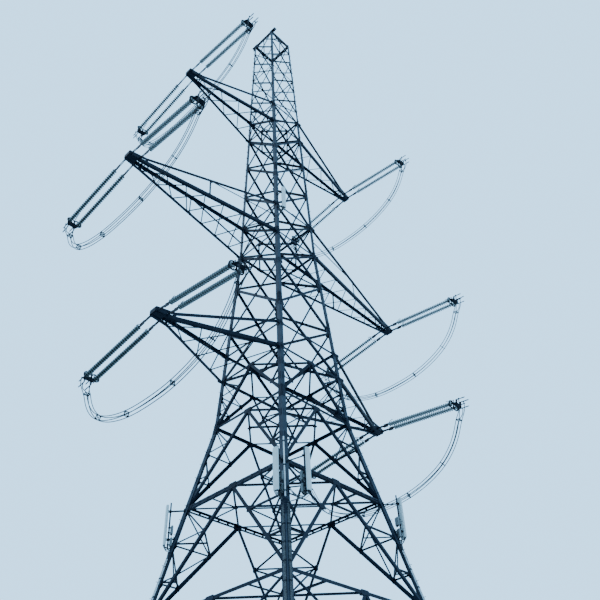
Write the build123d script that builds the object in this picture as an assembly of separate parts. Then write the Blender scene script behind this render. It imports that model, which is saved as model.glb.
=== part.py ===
from build123d import *
import math
import os

# Lattice transmission pylon, a double circuit strain tower at half size. Millimetres, +Z up,
# origin on the ground at the centre of the four feet. X runs along the crossarms and Y along
# the line. Every size below is a size of the half-size model.

# Levels above the ground
belt_levels = {"ground": 5827.0, "lower": 8732.0, "waist": 11186.0}
arm_bottom = {"lower": 12826.0, "middle": 18226.0, "upper": 25207.0}
arm_rise = {"lower": 948.0, "middle": 1481.0, "upper": 1330.0}     # depth of a crossarm at the body
arm_top = {level: z + arm_rise[level] for level, z in arm_bottom.items()}
top_level = 33327.0
throat_nodes = (0.342, 0.713)  # where crosses meet, as shares of lower to middle crossarm
cage_panels = 3                # crosses between the middle and the upper crossarms
peak_panels = 8                # node spacings above the upper crossarms

# Half width of the square plan, measured to the outer corners of the legs
foot_half = 3685.0
waist_half = 1413.0
cage_half = 976.0
top_half = 604.0

# Legs: equal angles that step down on the way up
leg_flange = {"shaft": 150.0, "throat": 130.0, "cage": 110.0, "peak": 80.0}
leg_wall = 12.0

# Footings
pier_side = 460.0
pier_height = 200.0
pier_chamfer = 20.0
shoe_side = 340.0
shoe_thickness = 20.0
strut_lift = 60.0            # foot of the raking struts above the shoe plate

# Bars of the tower's sides: width in the side, depth inwards
strut_width, strut_depth = 78.0, 46.0
cross_width, cross_depth = 62.0, 34.0
peak_width, peak_depth = 38.0, 22.0
redundant_width = 36.0
belt_height = {"ground": 92.0, "lower": 124.0, "waist": 92.0}
belt_depth = 62.0
arm_belt_height = 74.0
node_belt_height = 46.0
thin_belt_depth = 34.0
top_frame_height, top_frame_depth = 90.0, 50.0
wire_bracket_size, wire_bracket_reach, wire_bracket_thickness = 150.0, 210.0, 18.0
wire_bracket_bore = 16.0
side_clearance = 1.0         # between the bars of neighbouring sides at a leg
plan_width, plan_depth = 44.0, 30.0

# Crossarms
arm_reach = {"lower": 4895.0, "middle": 6545.0, "upper": 4735.0}
arm_panels = {"lower": 4, "middle": 7, "upper": 4}
arm_posts = {"lower": 0, "middle": 0.54, "upper": 0}   # post in each side frame, as a share, 0 for none
chord_width, chord_height = 84.0, 84.0
chord_inset = 4.0            # outer face of a chord inside the corner of the leg
upper_chord_height = 64.0
lacing_width, lacing_depth = 26.0, 20.0
post_width, post_depth = 34.0, 28.0
tip_length = 640.0
tip_half_inner, tip_half_outer = 205.0, 135.0
tip_rise = 150.0             # lower chord to upper chord at the tip box
tip_drop = 60.0              # fall of the top of the tip box towards its end
tip_plate = 16.0
lug_size, lug_thickness, lug_bore = 84.0, 20.0, 12.0
lug_reach, lug_margin, lug_length = 90.0, 25.0, 150.0

# Insulator strings, two to a set, a set each way along the line
string_gap = 300.0
string_inset = 70.0
string_drop = 8.0            # degrees below the horizontal
disc_diameter = 140.0
disc_pitch = 85.0
disc_count = 30
link_length = 430.0
link_diameter = 30.0
plate_start, plate_length, plate_width, plate_thickness = 190.0, 170.0, 70.0, 22.0
yoke_length, yoke_width, yoke_thickness = 170.0, 400.0, 14.0
clamp_length, clamp_diameter = 300.0, 34.0
bundle_gap = 225.0
spreader_setback, spreader_overhang, spreader_length = 20.0, 20.0, 60.0
ring_clearance, ring_bar, ring_corner, ring_setback = 30.0, 20.0, 70.0, 105.0

# Jumper loops: one tube with the section of the four conductors of a bundle
jumper_diameter = 34.0
jumper_boss_diameter = 46.0
jumper_half_route = [(3364.0, -436.6), (3350.0, -496.0), (3235.0, -985.0), (3030.0, -1440.0),
                     (2735.0, -1845.0), (2355.0, -2175.0), (1910.0, -2410.0), (1495.0, -2560.0),
                     (1080.0, -2665.0), (665.0, -2730.0), (250.0, -2755.0)]

# Panel antennas on the legs
antenna_width, antenna_depth, antenna_height = 155.0, 75.0, 1100.0
antenna_corner = 18.0
antenna_pole_diameter, antenna_pole_overrun = 42.0, 80.0
antenna_bar = 36.0
antenna_bar_levels = (0.15, 0.85)
antenna_standoff = 95.0
antenna_foot, upper_antenna_foot = 7750.0, 19350.0
# Leg, pole centre outside the corner of the leg along X and Y, foot, and the way the panel faces
# in degrees from +X
antenna_poles = [(-1, -1, 84.0, -121.0, antenna_foot, 185.0), (-1, -1, -391.0, 289.0, antenna_foot, 280.0),
                 (-1, 1, 54.0, 74.0, antenna_foot, 150.0), (1, -1, 54.0, 69.0, antenna_foot, 340.0),
                 (-1, -1, -150.0, 150.0, upper_antenna_foot, 265.0)]

corners = {"front_left": 0, "front_right": 90, "back_right": 180, "back_left": 270}
trim_margin = 600.0          # the trimming envelope reaches this far above and below what it trims


def half_width(z):
    """Half width of the plan at a height: straight legs between their bends."""
    knots = [(0.0, foot_half), (belt_levels["waist"], waist_half),
             (arm_bottom["middle"], cage_half), (top_level, top_half)]
    for (z0, w0), (z1, w1) in zip(knots, knots[1:]):
        if z <= z1:
            break
    return w0 + (w1 - w0) * (z - z0) / (z1 - z0)


def zone_of(z):
    """Name of the leg size in use at a height."""
    if z < belt_levels["waist"]:
        return "shaft"
    if z < arm_bottom["middle"]:
        return "throat"
    if z < arm_top["upper"]:
        return "cage"
    return "peak"


def polygon(points):
    """Flat face through points in space."""
    return Face(Wire.make_polygon([Vector(*p) for p in points], close=True))


def prism(points, along):
    """Straight solid: a flat polygon carried along a vector, square to it or not."""
    return Solid.extrude(polygon(points), Vector(*along))


def box_between(x0, ring0, x1, ring1):
    """Flat-sided solid between two outlines of four (y, z) corners each, at two places along X."""
    start, end = [(x0, y, z) for y, z in ring0], [(x1, y, z) for y, z in ring1]
    walls = [[start[i - 1], start[i], end[i], end[i - 1]] for i in range(4)]
    return Solid(Shell([polygon(points) for points in [start, end] + walls])).fix()


def clip(points, a, b, c):
    """Part of a flat convex polygon where a*u + b*v is at most c."""
    kept = []
    for (u0, v0), (u1, v1) in zip(points, points[1:] + points[:1]):
        d0, d1 = a * u0 + b * v0 - c, a * u1 + b * v1 - c
        if d0 <= 0:
            kept.append((u0, v0))
        if (d0 < 0 < d1) or (d1 < 0 < d0):
            t = d0 / (d0 - d1)
            kept.append((u0 + t * (u1 - u0), v0 + t * (v1 - v0)))
    return kept


def strip(p, q, width, overrun=0.0):
    """Corners of a bar of some width from p to q, in a flat side."""
    du, dv = q[0] - p[0], q[1] - p[1]
    length = math.hypot(du, dv)
    du, dv = du / length, dv / length
    p = (p[0] - du * overrun, p[1] - dv * overrun)
    q = (q[0] + du * overrun, q[1] + dv * overrun)
    nu, nv = -dv * width / 2, du * width / 2
    return [(p[0] + nu, p[1] + nv), (q[0] + nu, q[1] + nv), (q[0] - nu, q[1] - nv), (p[0] - nu, p[1] - nv)]


def fused(shapes):
    """One or more solids or faces from pieces that cross."""
    shapes = list(shapes)
    return shapes[0].fuse(*shapes[1:]).clean() if len(shapes) > 1 else shapes[0]


def side_bars(bars, z_low, z_high, depth, end_gap, floor_z, roof_z, half=0):
    """Bars of the front side between two heights of one straight stretch of leg.

    bars holds (u, z, u, z, width); they lie on the inner face of the leg flanges and stop
    end_gap short of the leg corners, at floor_z and roof_z, and with half at the middle.
    """
    w0, w1 = half_width(z_low), half_width(z_high)
    lean = (w0 - w1) / (z_high - z_low)
    faces = []
    for u0, z0, u1, z1, width in bars:
        flat = strip((u0, z0), (u1, z1), width, overrun=width)
        limit = w0 + lean * z_low - end_gap
        flat = clip(flat, 1, lean, limit)
        flat = clip(flat, -1, lean, limit)
        flat = clip(flat, 0, -1, -floor_z)
        flat = clip(flat, 0, 1, roof_z)
        if half:
            flat = clip(flat, -half, 0, 0)
        if len(flat) > 2:
            inner = [(u, -(w0 - lean * (z - z_low)) + leg_wall, z) for u, z in flat]
            faces.append(polygon(inner))
    return [Solid.extrude(f, Vector(0, depth, 0)) for f in fused(faces).faces()]


def turned(solids, angle):
    return [s.rotate(Axis.Z, angle) for s in solids]


def export(name, solids):
    solids = [s for shape in solids for s in shape.solids()]
    export_step(Compound(solids) if len(solids) > 1 else solids[0], f"parts/{name}.step")


def make_legs():
    """Four corner legs, each an angle bent at the waist and at the middle crossarms."""
    breaks = [pier_height + shoe_thickness, belt_levels["waist"], arm_bottom["middle"],
              arm_top["upper"], top_level]
    pieces = []
    for z0, z1 in zip(breaks, breaks[1:]):
        zone = zone_of(z0)
        f, t = leg_flange[zone], leg_wall
        w0, w1 = half_width(z0), half_width(z1)
        section = [(0, 0), (f, 0), (f, t), (t, t), (t, f), (0, f)]
        pieces.append(prism([(u - w0, v - w0, z0) for u, v in section], (w0 - w1, w0 - w1, z1 - z0)))
    leg = fused(pieces)
    for name, angle in corners.items():
        export(f"leg_{name}", [leg.rotate(Axis.Z, angle)])


def make_footings():
    """Concrete piers with a steel shoe plate under each leg."""
    z_top = pier_height
    w = half_width(z_top + shoe_thickness)
    centre = w - leg_flange["shaft"] / 2
    pier = Pos(-centre, -centre, z_top / 2) * Box(pier_side, pier_side, z_top)
    pier = chamfer(pier.edges().group_by(Axis.Z)[-1], pier_chamfer)
    shoe = Pos(-centre, -centre, z_top + shoe_thickness / 2) * Box(shoe_side, shoe_side, shoe_thickness)
    for name, angle in corners.items():
        export(f"pier_{name}", [pier.rotate(Axis.Z, angle)])
    export("shoe_plates", [shoe.rotate(Axis.Z, angle) for angle in corners.values()])


def portal_bars(z_foot, z_low, z_high, sign, bays):
    """Half of an inverted V between two belts: the raking strut and what ties it to the leg."""
    foot = (sign * half_width(z_low), z_low)
    apex = (0.0, z_high)
    bars = [(foot[0], foot[1], apex[0], apex[1], strut_width)]
    leg_nodes, strut_nodes = [], []
    for i in range(1, bays + 1):
        t = i / (bays + 1)
        z = z_low + t * (z_high - z_low)
        leg_nodes.append((sign * half_width(z), z))
        strut_nodes.append((foot[0] + (apex[0] - foot[0]) * t, z))
    previous = None
    for on_leg, on_strut in zip(leg_nodes, strut_nodes):
        bars.append((*on_leg, *on_strut, redundant_width))
        if previous:
            bars.append((*previous, *on_leg, redundant_width))
        previous = on_strut
    bars.append((*previous, sign * half_width(z_high), z_high, redundant_width))
    return bars


def make_leg_bracing():
    """Flat triangles between each leg and the struts of the portals beside it."""
    z0 = pier_height + shoe_thickness
    belts = belt_levels
    a_gap = leg_wall
    b_gap = a_gap + strut_depth + side_clearance
    stretches = [(z0, z0, belts["ground"], 4), (belts["ground"], belts["ground"], belts["lower"], 2)]
    for name, angle in corners.items():
        solids = []
        for index, (floor_z, z_low, z_high, bays) in enumerate(stretches):
            bottom = floor_z + (belt_height["ground"] / 2 if index else strut_lift)
            roof = z_high - belt_height["ground" if index == 0 else "lower"] / 2
            for sign, turn, gap in ((-1, 0, a_gap), (1, -90, b_gap)):
                if angle in (90, 270):
                    gap = b_gap if gap == a_gap else a_gap
                bars = portal_bars(floor_z, z_low, z_high, sign, bays)
                flat = side_bars(bars, z_low, z_high, strut_depth, gap, bottom, roof, half=sign)
                solids += turned(flat, angle + turn)
        export(f"leg_bracing_{name}", solids)


def cross_bars(levels, width):
    """A cross in each bay between neighbouring levels."""
    bars = []
    for z0, z1 in zip(levels, levels[1:]):
        w0, w1 = half_width(z0), half_width(z1)
        bars += [(-w0, z0, w1, z1, width), (w0, z0, -w1, z1, width)]
    return bars


def split(z0, z1, count):
    return [z0 + (z1 - z0) * i / count for i in range(count + 1)]


def make_side_bracing():
    """The braced sides of the shaft, throat, cage and peak, front, back, left and right."""
    low, top = arm_bottom, arm_top
    arm_half, node_half = arm_belt_height / 2, node_belt_height / 2
    throat_height = low["middle"] - low["lower"]
    throat = [low["lower"]] + [low["lower"] + share * throat_height for share in throat_nodes] + [low["middle"]]
    cage = [low["middle"]] + split(top["middle"], low["upper"], cage_panels) + [top["upper"]]
    steps = split(top["upper"], top_level, peak_panels)
    shaft = [(belt_levels["lower"], belt_height["lower"] / 2), (belt_levels["waist"], belt_height["waist"] / 2),
             (low["lower"], arm_half)]
    throat_rings = [(low["lower"], arm_half), (top["lower"], arm_half), (low["middle"], arm_half)]
    cage_rings = [(z, arm_half) for z in (low["middle"], top["middle"], low["upper"], top["upper"])]
    peak_rings = [(top["upper"], arm_half), (steps[peak_panels // 2], node_half), (top_level, top_frame_height)]
    for name, angle, crossing in (("front", 0, False), ("back", 180, False),
                                  ("left", -90, True), ("right", 90, True)):
        peak = steps[::2] if crossing else [steps[0]] + steps[1:-1:2] + [steps[-1]]

        def gap(depth):
            return leg_wall + (depth + side_clearance if crossing else 0.0)

        def crossed(levels, rings, width, depth):
            bars = cross_bars(levels, width)
            flats = []
            for (z0, h0), (z1, h1) in zip(rings, rings[1:]):
                floor_z, roof_z = z0 + h0, z1 - h1
                inside = [bar for bar in bars if min(bar[3], roof_z) - max(bar[1], floor_z) > width]
                flats += side_bars(inside, levels[0], levels[-1], depth, gap(depth), floor_z, roof_z)
            return flats

        waist = []
        for (z0, h0), (z1, h1) in zip(shaft, shaft[1:]):
            bars = portal_bars(z0, z0, z1, -1, 2) + portal_bars(z0, z0, z1, 1, 2)
            waist += side_bars(bars, z0, z1, strut_depth, gap(strut_depth), z0 + h0, z1 - h1)
        export(f"shaft_bracing_{name}", turned(waist, angle))
        export(f"throat_bracing_{name}", turned(crossed(throat, throat_rings, cross_width, cross_depth), angle))
        upper = crossed(cage, cage_rings, cross_width, cross_depth)
        upper += crossed(peak, peak_rings, peak_width, peak_depth)
        export(f"cage_bracing_{name}", turned(upper, angle))


def belt(z, height, depth, crossed):
    """Square ring of horizontals inside the legs at one level, with bracing in its plan."""
    w_high = half_width(z + height / 2)
    w_low = 2 * half_width(z) - w_high
    sides = []
    for angle in (0, 90, 180, 270):
        end = [(w_low - leg_wall, z - height / 2), (w_high - leg_wall, z + height / 2)]
        points = [(-end[0][0], -end[0][0], end[0][1]), (end[0][0], -end[0][0], end[0][1]),
                  (end[1][0], -end[1][0], end[1][1]), (-end[1][0], -end[1][0], end[1][1])]
        sides.append(prism(points, (0, depth, 0)).rotate(Axis.Z, angle))
    pieces = [fused(sides)]
    if crossed:
        inner = w_high - leg_wall - depth / 2
        low = z - plan_depth / 2
        flats = [strip((0, -inner), (inner, 0), plan_width), strip((inner, 0), (0, inner), plan_width),
                 strip((0, inner), (-inner, 0), plan_width), strip((-inner, 0), (0, -inner), plan_width)]
        if crossed > 1:
            q = inner / 2
            flats += [strip((-q, -q), (q, q), plan_width), strip((-q, q), (q, -q), plan_width)]
        for flat in flats:
            pieces.append(prism([(u, v, low) for u, v in flat], (0, 0, plan_depth)))
    return fused(pieces).solids()


def make_belts():
    for name, z in belt_levels.items():
        export(f"{name}_belt", belt(z, belt_height[name], belt_depth, 2))
    for arm in arm_bottom:
        solids = belt(arm_bottom[arm], arm_belt_height, thin_belt_depth, 1)
        solids += belt(arm_top[arm], arm_belt_height, thin_belt_depth, 0)
        export(f"{arm}_arm_belts", solids)
    z = split(arm_top["upper"], top_level, peak_panels)[peak_panels // 2]
    export("node_belts", belt(z, node_belt_height, peak_depth, 0))
    frame = belt(top_level - top_frame_height / 2, top_frame_height, top_frame_depth, 1)
    export("top_frame", fused(frame + wire_brackets()).solids())


def wire_brackets():
    """Plates for the earth wires on the two left corners of the top frame, each with an eye."""
    half, size = top_half, wire_bracket_size
    plates = []
    for s in (-1, 1):
        y_in, y_out = s * (half - size), s * (half + wire_bracket_reach)
        plate = Pos(-half + size / 2, (y_in + y_out) / 2, top_level + wire_bracket_thickness / 2)
        plate *= Box(size, abs(y_out - y_in), wire_bracket_thickness)
        eye = Pos(-half + size / 2, y_out - s * 3 * wire_bracket_bore, top_level)
        bore = extrude(RegularPolygon(wire_bracket_bore, 8), 2 * wire_bracket_thickness, both=True)
        plates.append((plate - eye * bore).solid())
    return plates


def body_envelope(z_low, z_high):
    """The solid envelope of the tower between two heights, to trim what meets the legs from outside."""
    bends = [z for z in (belt_levels["waist"], arm_bottom["middle"]) if z_low < z < z_high]
    stages = []
    for z0, z1 in zip([z_low] + bends, bends + [z_high]):
        squares = []
        for z in (z0, z1):
            w = half_width(z)
            squares.append(polygon([(-w, -w, z), (w, -w, z), (w, w, z), (-w, w, z)]).outer_wire())
        stages.append(Solid.make_loft(squares, True))
    return fused(stages)


def make_arm(level):
    """Solids of one crossarm to the left: two side frames, plan lacing and the tip box."""
    zb, zt = arm_bottom[level], arm_top[level]
    wb, wt = half_width(zb), half_width(zt)
    reach = arm_reach[level]
    xs = -(reach - tip_length)
    tip_y = tip_half_inner - chord_width / 2
    z_tip = zb + tip_rise
    lower_y = wb - chord_width / 2 - chord_inset
    upper_y = wt - chord_width / 2 - chord_inset
    x_bottom, x_top = -wb + chord_width, -wt + chord_width

    def chord(y0, z0, z1, x0, height):
        points = [(x0, -y0 + side * chord_width / 2, z0 + level * height / 2)
                  for side, level in ((-1, -1), (1, -1), (1, 1), (-1, 1))]
        return prism(points, (xs - x0, y0 - tip_y, z1 - z0))

    bottom = chord(lower_y, zb, zb, x_bottom, chord_height)
    top = chord(upper_y, zt, z_tip, x_top, upper_chord_height)

    def y_at(x):
        lower = lower_y + (tip_y - lower_y) * (x - x_bottom) / (xs - x_bottom)
        upper = upper_y + (tip_y - upper_y) * (x - x_top) / (xs - x_top)
        return (lower + upper) / 2

    slope = (z_tip - zt) / (xs - x_top)
    bars = []
    if arm_posts[level]:
        x_post = -wb + (xs + wb) * arm_posts[level]
        z_post = zt + slope * (x_post - x_top)
        bars = [strip((x_post, zb), (x_post, z_post), post_width),
                strip((x_post, z_post), (x_bottom, (zb + zt) / 2), post_width)]
    lacing = []
    for flat in bars:
        points = [(x, -y_at(x) - post_depth / 2, z) for x, z in flat]
        lacing.append(prism(points, (0, post_depth, 0)))
    side = fused([bottom, top] + lacing).cut(body_envelope(zb - trim_margin, zt + trim_margin))
    side = side.solids()
    sides = side + [s.mirror(Plane.XZ) for s in side]

    stations = split(-wb, xs, arm_panels[level])
    flats = []
    for x0, x1 in zip(stations, stations[1:]):
        y0, y1 = y_at(x0), y_at(x1)
        flats += [strip((x0, s * y0), (x1, -s * y1), lacing_width) for s in (1, -1)]
    low = zb - chord_height / 2
    flats = [clip(clip(flat, 1, 0, -half_width(low - lacing_depth)), -1, 0, -xs) for flat in flats]
    skin = fused([polygon([(x, y, low) for x, y in flat]) for flat in flats])
    plan = [Solid.extrude(f, Vector(0, 0, -lacing_depth)) for f in skin.faces()]

    z_high = z_tip + upper_chord_height / 2
    inner = [(-tip_half_inner, low), (tip_half_inner, low), (tip_half_inner, z_high), (-tip_half_inner, z_high)]
    z_end = z_high - tip_drop
    outer = [(-tip_half_outer, low), (tip_half_outer, low), (tip_half_outer, z_end), (-tip_half_outer, z_end)]
    shell = box_between(xs, inner, -reach, outer)
    cavities = []
    for half, z_top in ((tip_half_inner, z_high), (tip_half_outer, z_end)):
        half, z_floor, z_over = half - tip_plate, low + tip_plate, z_top + tip_plate
        cavities.append([(-half, z_floor), (half, z_floor), (half, z_over), (-half, z_over)])
    cavity = box_between(xs - tip_plate, cavities[0], -reach + tip_plate, cavities[1])
    lugs = []
    for x in string_stations(reach):
        for s in (1, -1):
            lug = Pos(x, s * (tip_half_outer + lug_reach + lug_margin - lug_length / 2), zb)
            bore = Pos(x, s * (tip_half_outer + lug_reach), zb) * Rot(0, 90, 0)
            lug *= Box(lug_thickness, lug_length, lug_size)
            eye = extrude(RegularPolygon(lug_bore, 8), lug_thickness, both=True)
            lugs.append((lug - bore * eye).solid())
    tip = fused([shell.cut(cavity)] + lugs)
    return sides, plan, tip.solids()


def string_stations(reach):
    return [-(reach - string_inset), -(reach - string_inset - string_gap)]


def make_crossarms():
    tips = []
    for level in arm_bottom:
        sides, plan, tip = make_arm(level)
        for hand, angle in (("left", 0), ("right", 180)):
            export(f"{level}_{hand}_crossarm_sides", turned(sides, angle))
            export(f"{level}_{hand}_crossarm_plan", turned(plan, angle))
            tips += turned(tip, angle)
    export("crossarm_tips", tips)


def grading_ring(frame):
    """Flat ring with long sides round the last discs of both strings, held from the yoke."""
    wide = string_gap / 2 + disc_diameter / 2 + ring_clearance
    high = disc_diameter / 2 + ring_clearance

    def outline(margin):
        w, h, c = wide + margin, high + margin, ring_corner
        points = [(w - c, -h), (w, -h + c), (w, h - c), (w - c, h)]
        points += [(-u, v) for u, v in reversed(points)]
        return polygon([(u, v, -ring_setback) for u, v in points])

    flat = outline(ring_bar) - outline(0.0)
    ring = Solid.extrude(flat.faces()[0], Vector(0, 0, -ring_bar))
    middle = high + ring_bar / 2
    length = ring_setback + 2 * ring_bar
    stays = [Pos(0, s * middle, -ring_setback + length / 2 - ring_bar) * Box(ring_bar, ring_bar, length)
             for s in (1, -1)]
    post = Pos(0, 0, ring_bar / 2) * Box(ring_bar, 2 * middle, ring_bar)
    return [frame.location * ring] + [(frame.location * piece).solid() for piece in stays + [post]]


def make_strings():
    """Insulator strings and their fittings, from the tip boxes to the dead-end clamps."""
    drop = math.radians(string_drop)
    out = Vector(0, -math.cos(drop), -math.sin(drop))
    link_flat = link_diameter / 2 * math.cos(math.radians(30))
    half_gap = bundle_gap / 2
    string_length = disc_pitch * disc_count
    for level, zb in arm_bottom.items():
        reach = arm_reach[level]
        fittings, strings = [], []
        start_y = -(tip_half_outer + lug_reach + lug_margin + link_flat * math.sin(drop))
        for x in string_stations(reach):
            rod = Plane(origin=(x, start_y, zb), x_dir=(1, 0, 0), z_dir=out)
            string = extrude(RegularPolygon(disc_diameter / 2, 8), string_length)
            strings.append((rod * Pos(0, 0, link_length) * string).solid())
            link = (rod * extrude(RegularPolygon(link_diameter / 2, 6), link_length)).solid()
            plate = Pos(0, 0, plate_start + plate_length / 2) * Box(plate_thickness, plate_width, plate_length)
            fittings += fused([link, (rod * plate).solid()]).solids()
        mid_x = sum(string_stations(reach)) / 2
        yoke_at = Vector(mid_x, start_y, zb) + out * (link_length + string_length)
        frame = Plane(origin=yoke_at, x_dir=(1, 0, 0), z_dir=out)
        yoke = frame * Pos(0, 0, yoke_length / 2) * Box(yoke_width, yoke_thickness, yoke_length)
        grip = extrude(RegularPolygon(clamp_diameter / 2, 6), clamp_length)
        grips = [frame * Pos(u, v, yoke_length) * grip
                 for u in (-half_gap, half_gap) for v in (-half_gap, half_gap)]
        spreader = Box(yoke_thickness, bundle_gap + 2 * spreader_overhang, spreader_length)
        spreaders = [frame * Pos(u, 0, yoke_length - spreader_setback) * spreader for u in (-half_gap, half_gap)]
        (y0, dz0), (y1, dz1) = jumper_half_route[:2]
        seat, end = Vector(mid_x, -y0, zb + dz0), Vector(mid_x, -y1, zb + dz1)
        boss = extrude(RegularPolygon(jumper_boss_diameter / 2, 8), (end - seat).length)
        boss = Plane(origin=seat, z_dir=end - seat) * boss
        pieces = [yoke.solid()] + [piece.solid() for piece in spreaders + grips + [boss]]
        fittings += fused(pieces + grading_ring(frame)).solids()
        strings += [s.mirror(Plane.XZ) for s in strings]
        export(f"{level}_left_insulator_strings", strings)
        export(f"{level}_right_insulator_strings", turned(strings, 180))
        ways = fittings + [s.mirror(Plane.XZ) for s in fittings]
        export(f"{level}_string_fittings", ways + turned(ways, 180))


def jumper_tube(x, z):
    """A tube hung between the two clamps of a phase: straight runs with tangent arcs."""
    half = jumper_half_route[1:]
    route = [(-y, dz) for y, dz in half] + [(y, dz) for y, dz in reversed(half)]
    points = [Vector(x, y, z + dz) for y, dz in route]
    radii = []
    for a, b, c in zip(points, points[1:], points[2:]):
        run = min((b - a).length, (c - b).length)
        turn = math.radians((b - a).get_angle(c - b))
        radii.append(0.45 * run / math.tan(turn / 2))
    path = FilletPolyline(*points, radius=radii)
    start = Plane(origin=points[0], z_dir=points[1] - points[0])
    tube = sweep(start * RegularPolygon(jumper_diameter / 2, 6), path=path)
    return tube.solid()


def make_jumpers():
    for level, zb in arm_bottom.items():
        x = sum(string_stations(arm_reach[level])) / 2
        tube = jumper_tube(x, zb)
        export(f"{level}_jumpers", [tube, tube.rotate(Axis.Z, 180)])


def make_antennas():
    """Panel antennas on poles beside the legs, each pole on two bars that seat on a leg."""
    panels, mounts = [], []
    for sx, sy, dx, dy, foot, yaw in antenna_poles:
        envelope = body_envelope(foot - trim_margin, foot + antenna_height + trim_margin)
        corner = half_width(foot)
        x, y = sx * (corner + dx), sy * (corner + dy)
        facing = Vector(math.cos(math.radians(yaw)), math.sin(math.radians(yaw)), 0)
        middle = Vector(x, y, foot + antenna_height / 2)
        panel = Box(antenna_depth, antenna_width, antenna_height)
        panel = chamfer(panel.edges().filter_by(Axis.Z), antenna_corner)
        panels.append((Pos(*(middle + facing * antenna_standoff)) * Rot(0, 0, yaw) * panel).solid())
        pole = extrude(RegularPolygon(antenna_pole_diameter / 2, 8),
                       antenna_height / 2 + antenna_pole_overrun, both=True)
        pieces = [(Pos(*middle) * pole).solid()]
        bar_section = Rectangle(antenna_bar, antenna_bar)
        for share in antenna_bar_levels:
            z = foot + share * antenna_height
            seat = half_width(z) - leg_flange[zone_of(z)] / 2
            arm = Vector(sx * seat - x, sy * seat - y, 0)
            bar = Plane(origin=(x, y, z), z_dir=arm) * extrude(bar_section, arm.length)
            pieces.append(bar.solid().cut(envelope).solids()[0])
            reach = antenna_standoff - antenna_depth / 2
            pieces.append((Plane(origin=(x, y, z), z_dir=facing) * extrude(bar_section, reach)).solid())
        mounts += fused(pieces).solids()
    export("panel_antennas", panels)
    export("antenna_mounts", mounts)


os.makedirs("parts", exist_ok=True)
make_legs()
make_footings()
make_leg_bracing()
make_side_bracing()
make_belts()
make_crossarms()
make_strings()
make_jumpers()
make_antennas()
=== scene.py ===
import math
import bpy
import numpy as np
from mathutils import Matrix, Vector


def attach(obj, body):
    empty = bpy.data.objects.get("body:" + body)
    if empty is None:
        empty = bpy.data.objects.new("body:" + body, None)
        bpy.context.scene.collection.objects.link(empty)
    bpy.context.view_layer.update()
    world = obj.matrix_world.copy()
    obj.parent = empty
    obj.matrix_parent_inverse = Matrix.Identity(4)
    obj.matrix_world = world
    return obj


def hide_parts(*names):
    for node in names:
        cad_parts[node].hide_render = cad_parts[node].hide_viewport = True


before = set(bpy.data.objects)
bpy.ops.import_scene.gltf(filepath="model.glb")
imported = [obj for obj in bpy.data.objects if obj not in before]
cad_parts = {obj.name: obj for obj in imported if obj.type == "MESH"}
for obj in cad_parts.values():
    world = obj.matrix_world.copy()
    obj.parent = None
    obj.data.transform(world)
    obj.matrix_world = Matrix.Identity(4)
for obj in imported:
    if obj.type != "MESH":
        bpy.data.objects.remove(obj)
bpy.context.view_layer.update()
print("frame loaded:", len(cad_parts), "nodes")


def addObject(name, data):
    made = bpy.data.objects.new(name, data)
    bpy.context.scene.collection.objects.link(made)
    return made


# the camera of the photograph: standing near one foot and looking up
cameraSettings = {"place": (-12.581, -12.3595, 0.8), "yaw": 47.873, "pitch": 40.995, "roll": -3.122,
                  "lens": 40.81, "sensor": 36.0, "clip": (0.1, 400)}


def makeCamera(s):
    yaw, pitch, roll = (math.radians(s[k]) for k in ("yaw", "pitch", "roll"))
    ahead = Vector((math.sin(yaw) * math.cos(pitch), math.cos(yaw) * math.cos(pitch), math.sin(pitch)))
    side = Vector((math.cos(yaw), -math.sin(yaw), 0))
    up = side.cross(ahead)
    right = side * math.cos(roll) + up * math.sin(roll)
    top = up * math.cos(roll) - side * math.sin(roll)
    data = bpy.data.cameras.new("camera")
    data.lens, data.sensor_width = s["lens"], s["sensor"]
    data.clip_start, data.clip_end = s["clip"]
    camera = addObject("camera", data)
    camera.matrix_world = Matrix.Translation(s["place"]) @ Matrix((right, top, -ahead)).transposed().to_4x4()
    bpy.context.scene.camera = camera


makeCamera(cameraSettings)
print("camera set")


# shader sums: a wire wraps one socket, and + - * between wires and numbers add Math nodes
class Wire:
    def __init__(self, sheet, socket):
        self.sheet, self.socket = sheet, socket

    def combine(self, operation, first, second):
        return self.sheet.node("ShaderNodeMath", {"operation": operation}, {0: first, 1: second})

    def __add__(self, other):
        return self.combine("ADD", self, other)

    def __sub__(self, other):
        return self.combine("SUBTRACT", self, other)

    def __rsub__(self, other):
        return self.combine("SUBTRACT", other, self)

    def __mul__(self, other):
        return self.combine("MULTIPLY", self, other)

    __radd__, __rmul__ = __add__, __mul__


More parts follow.
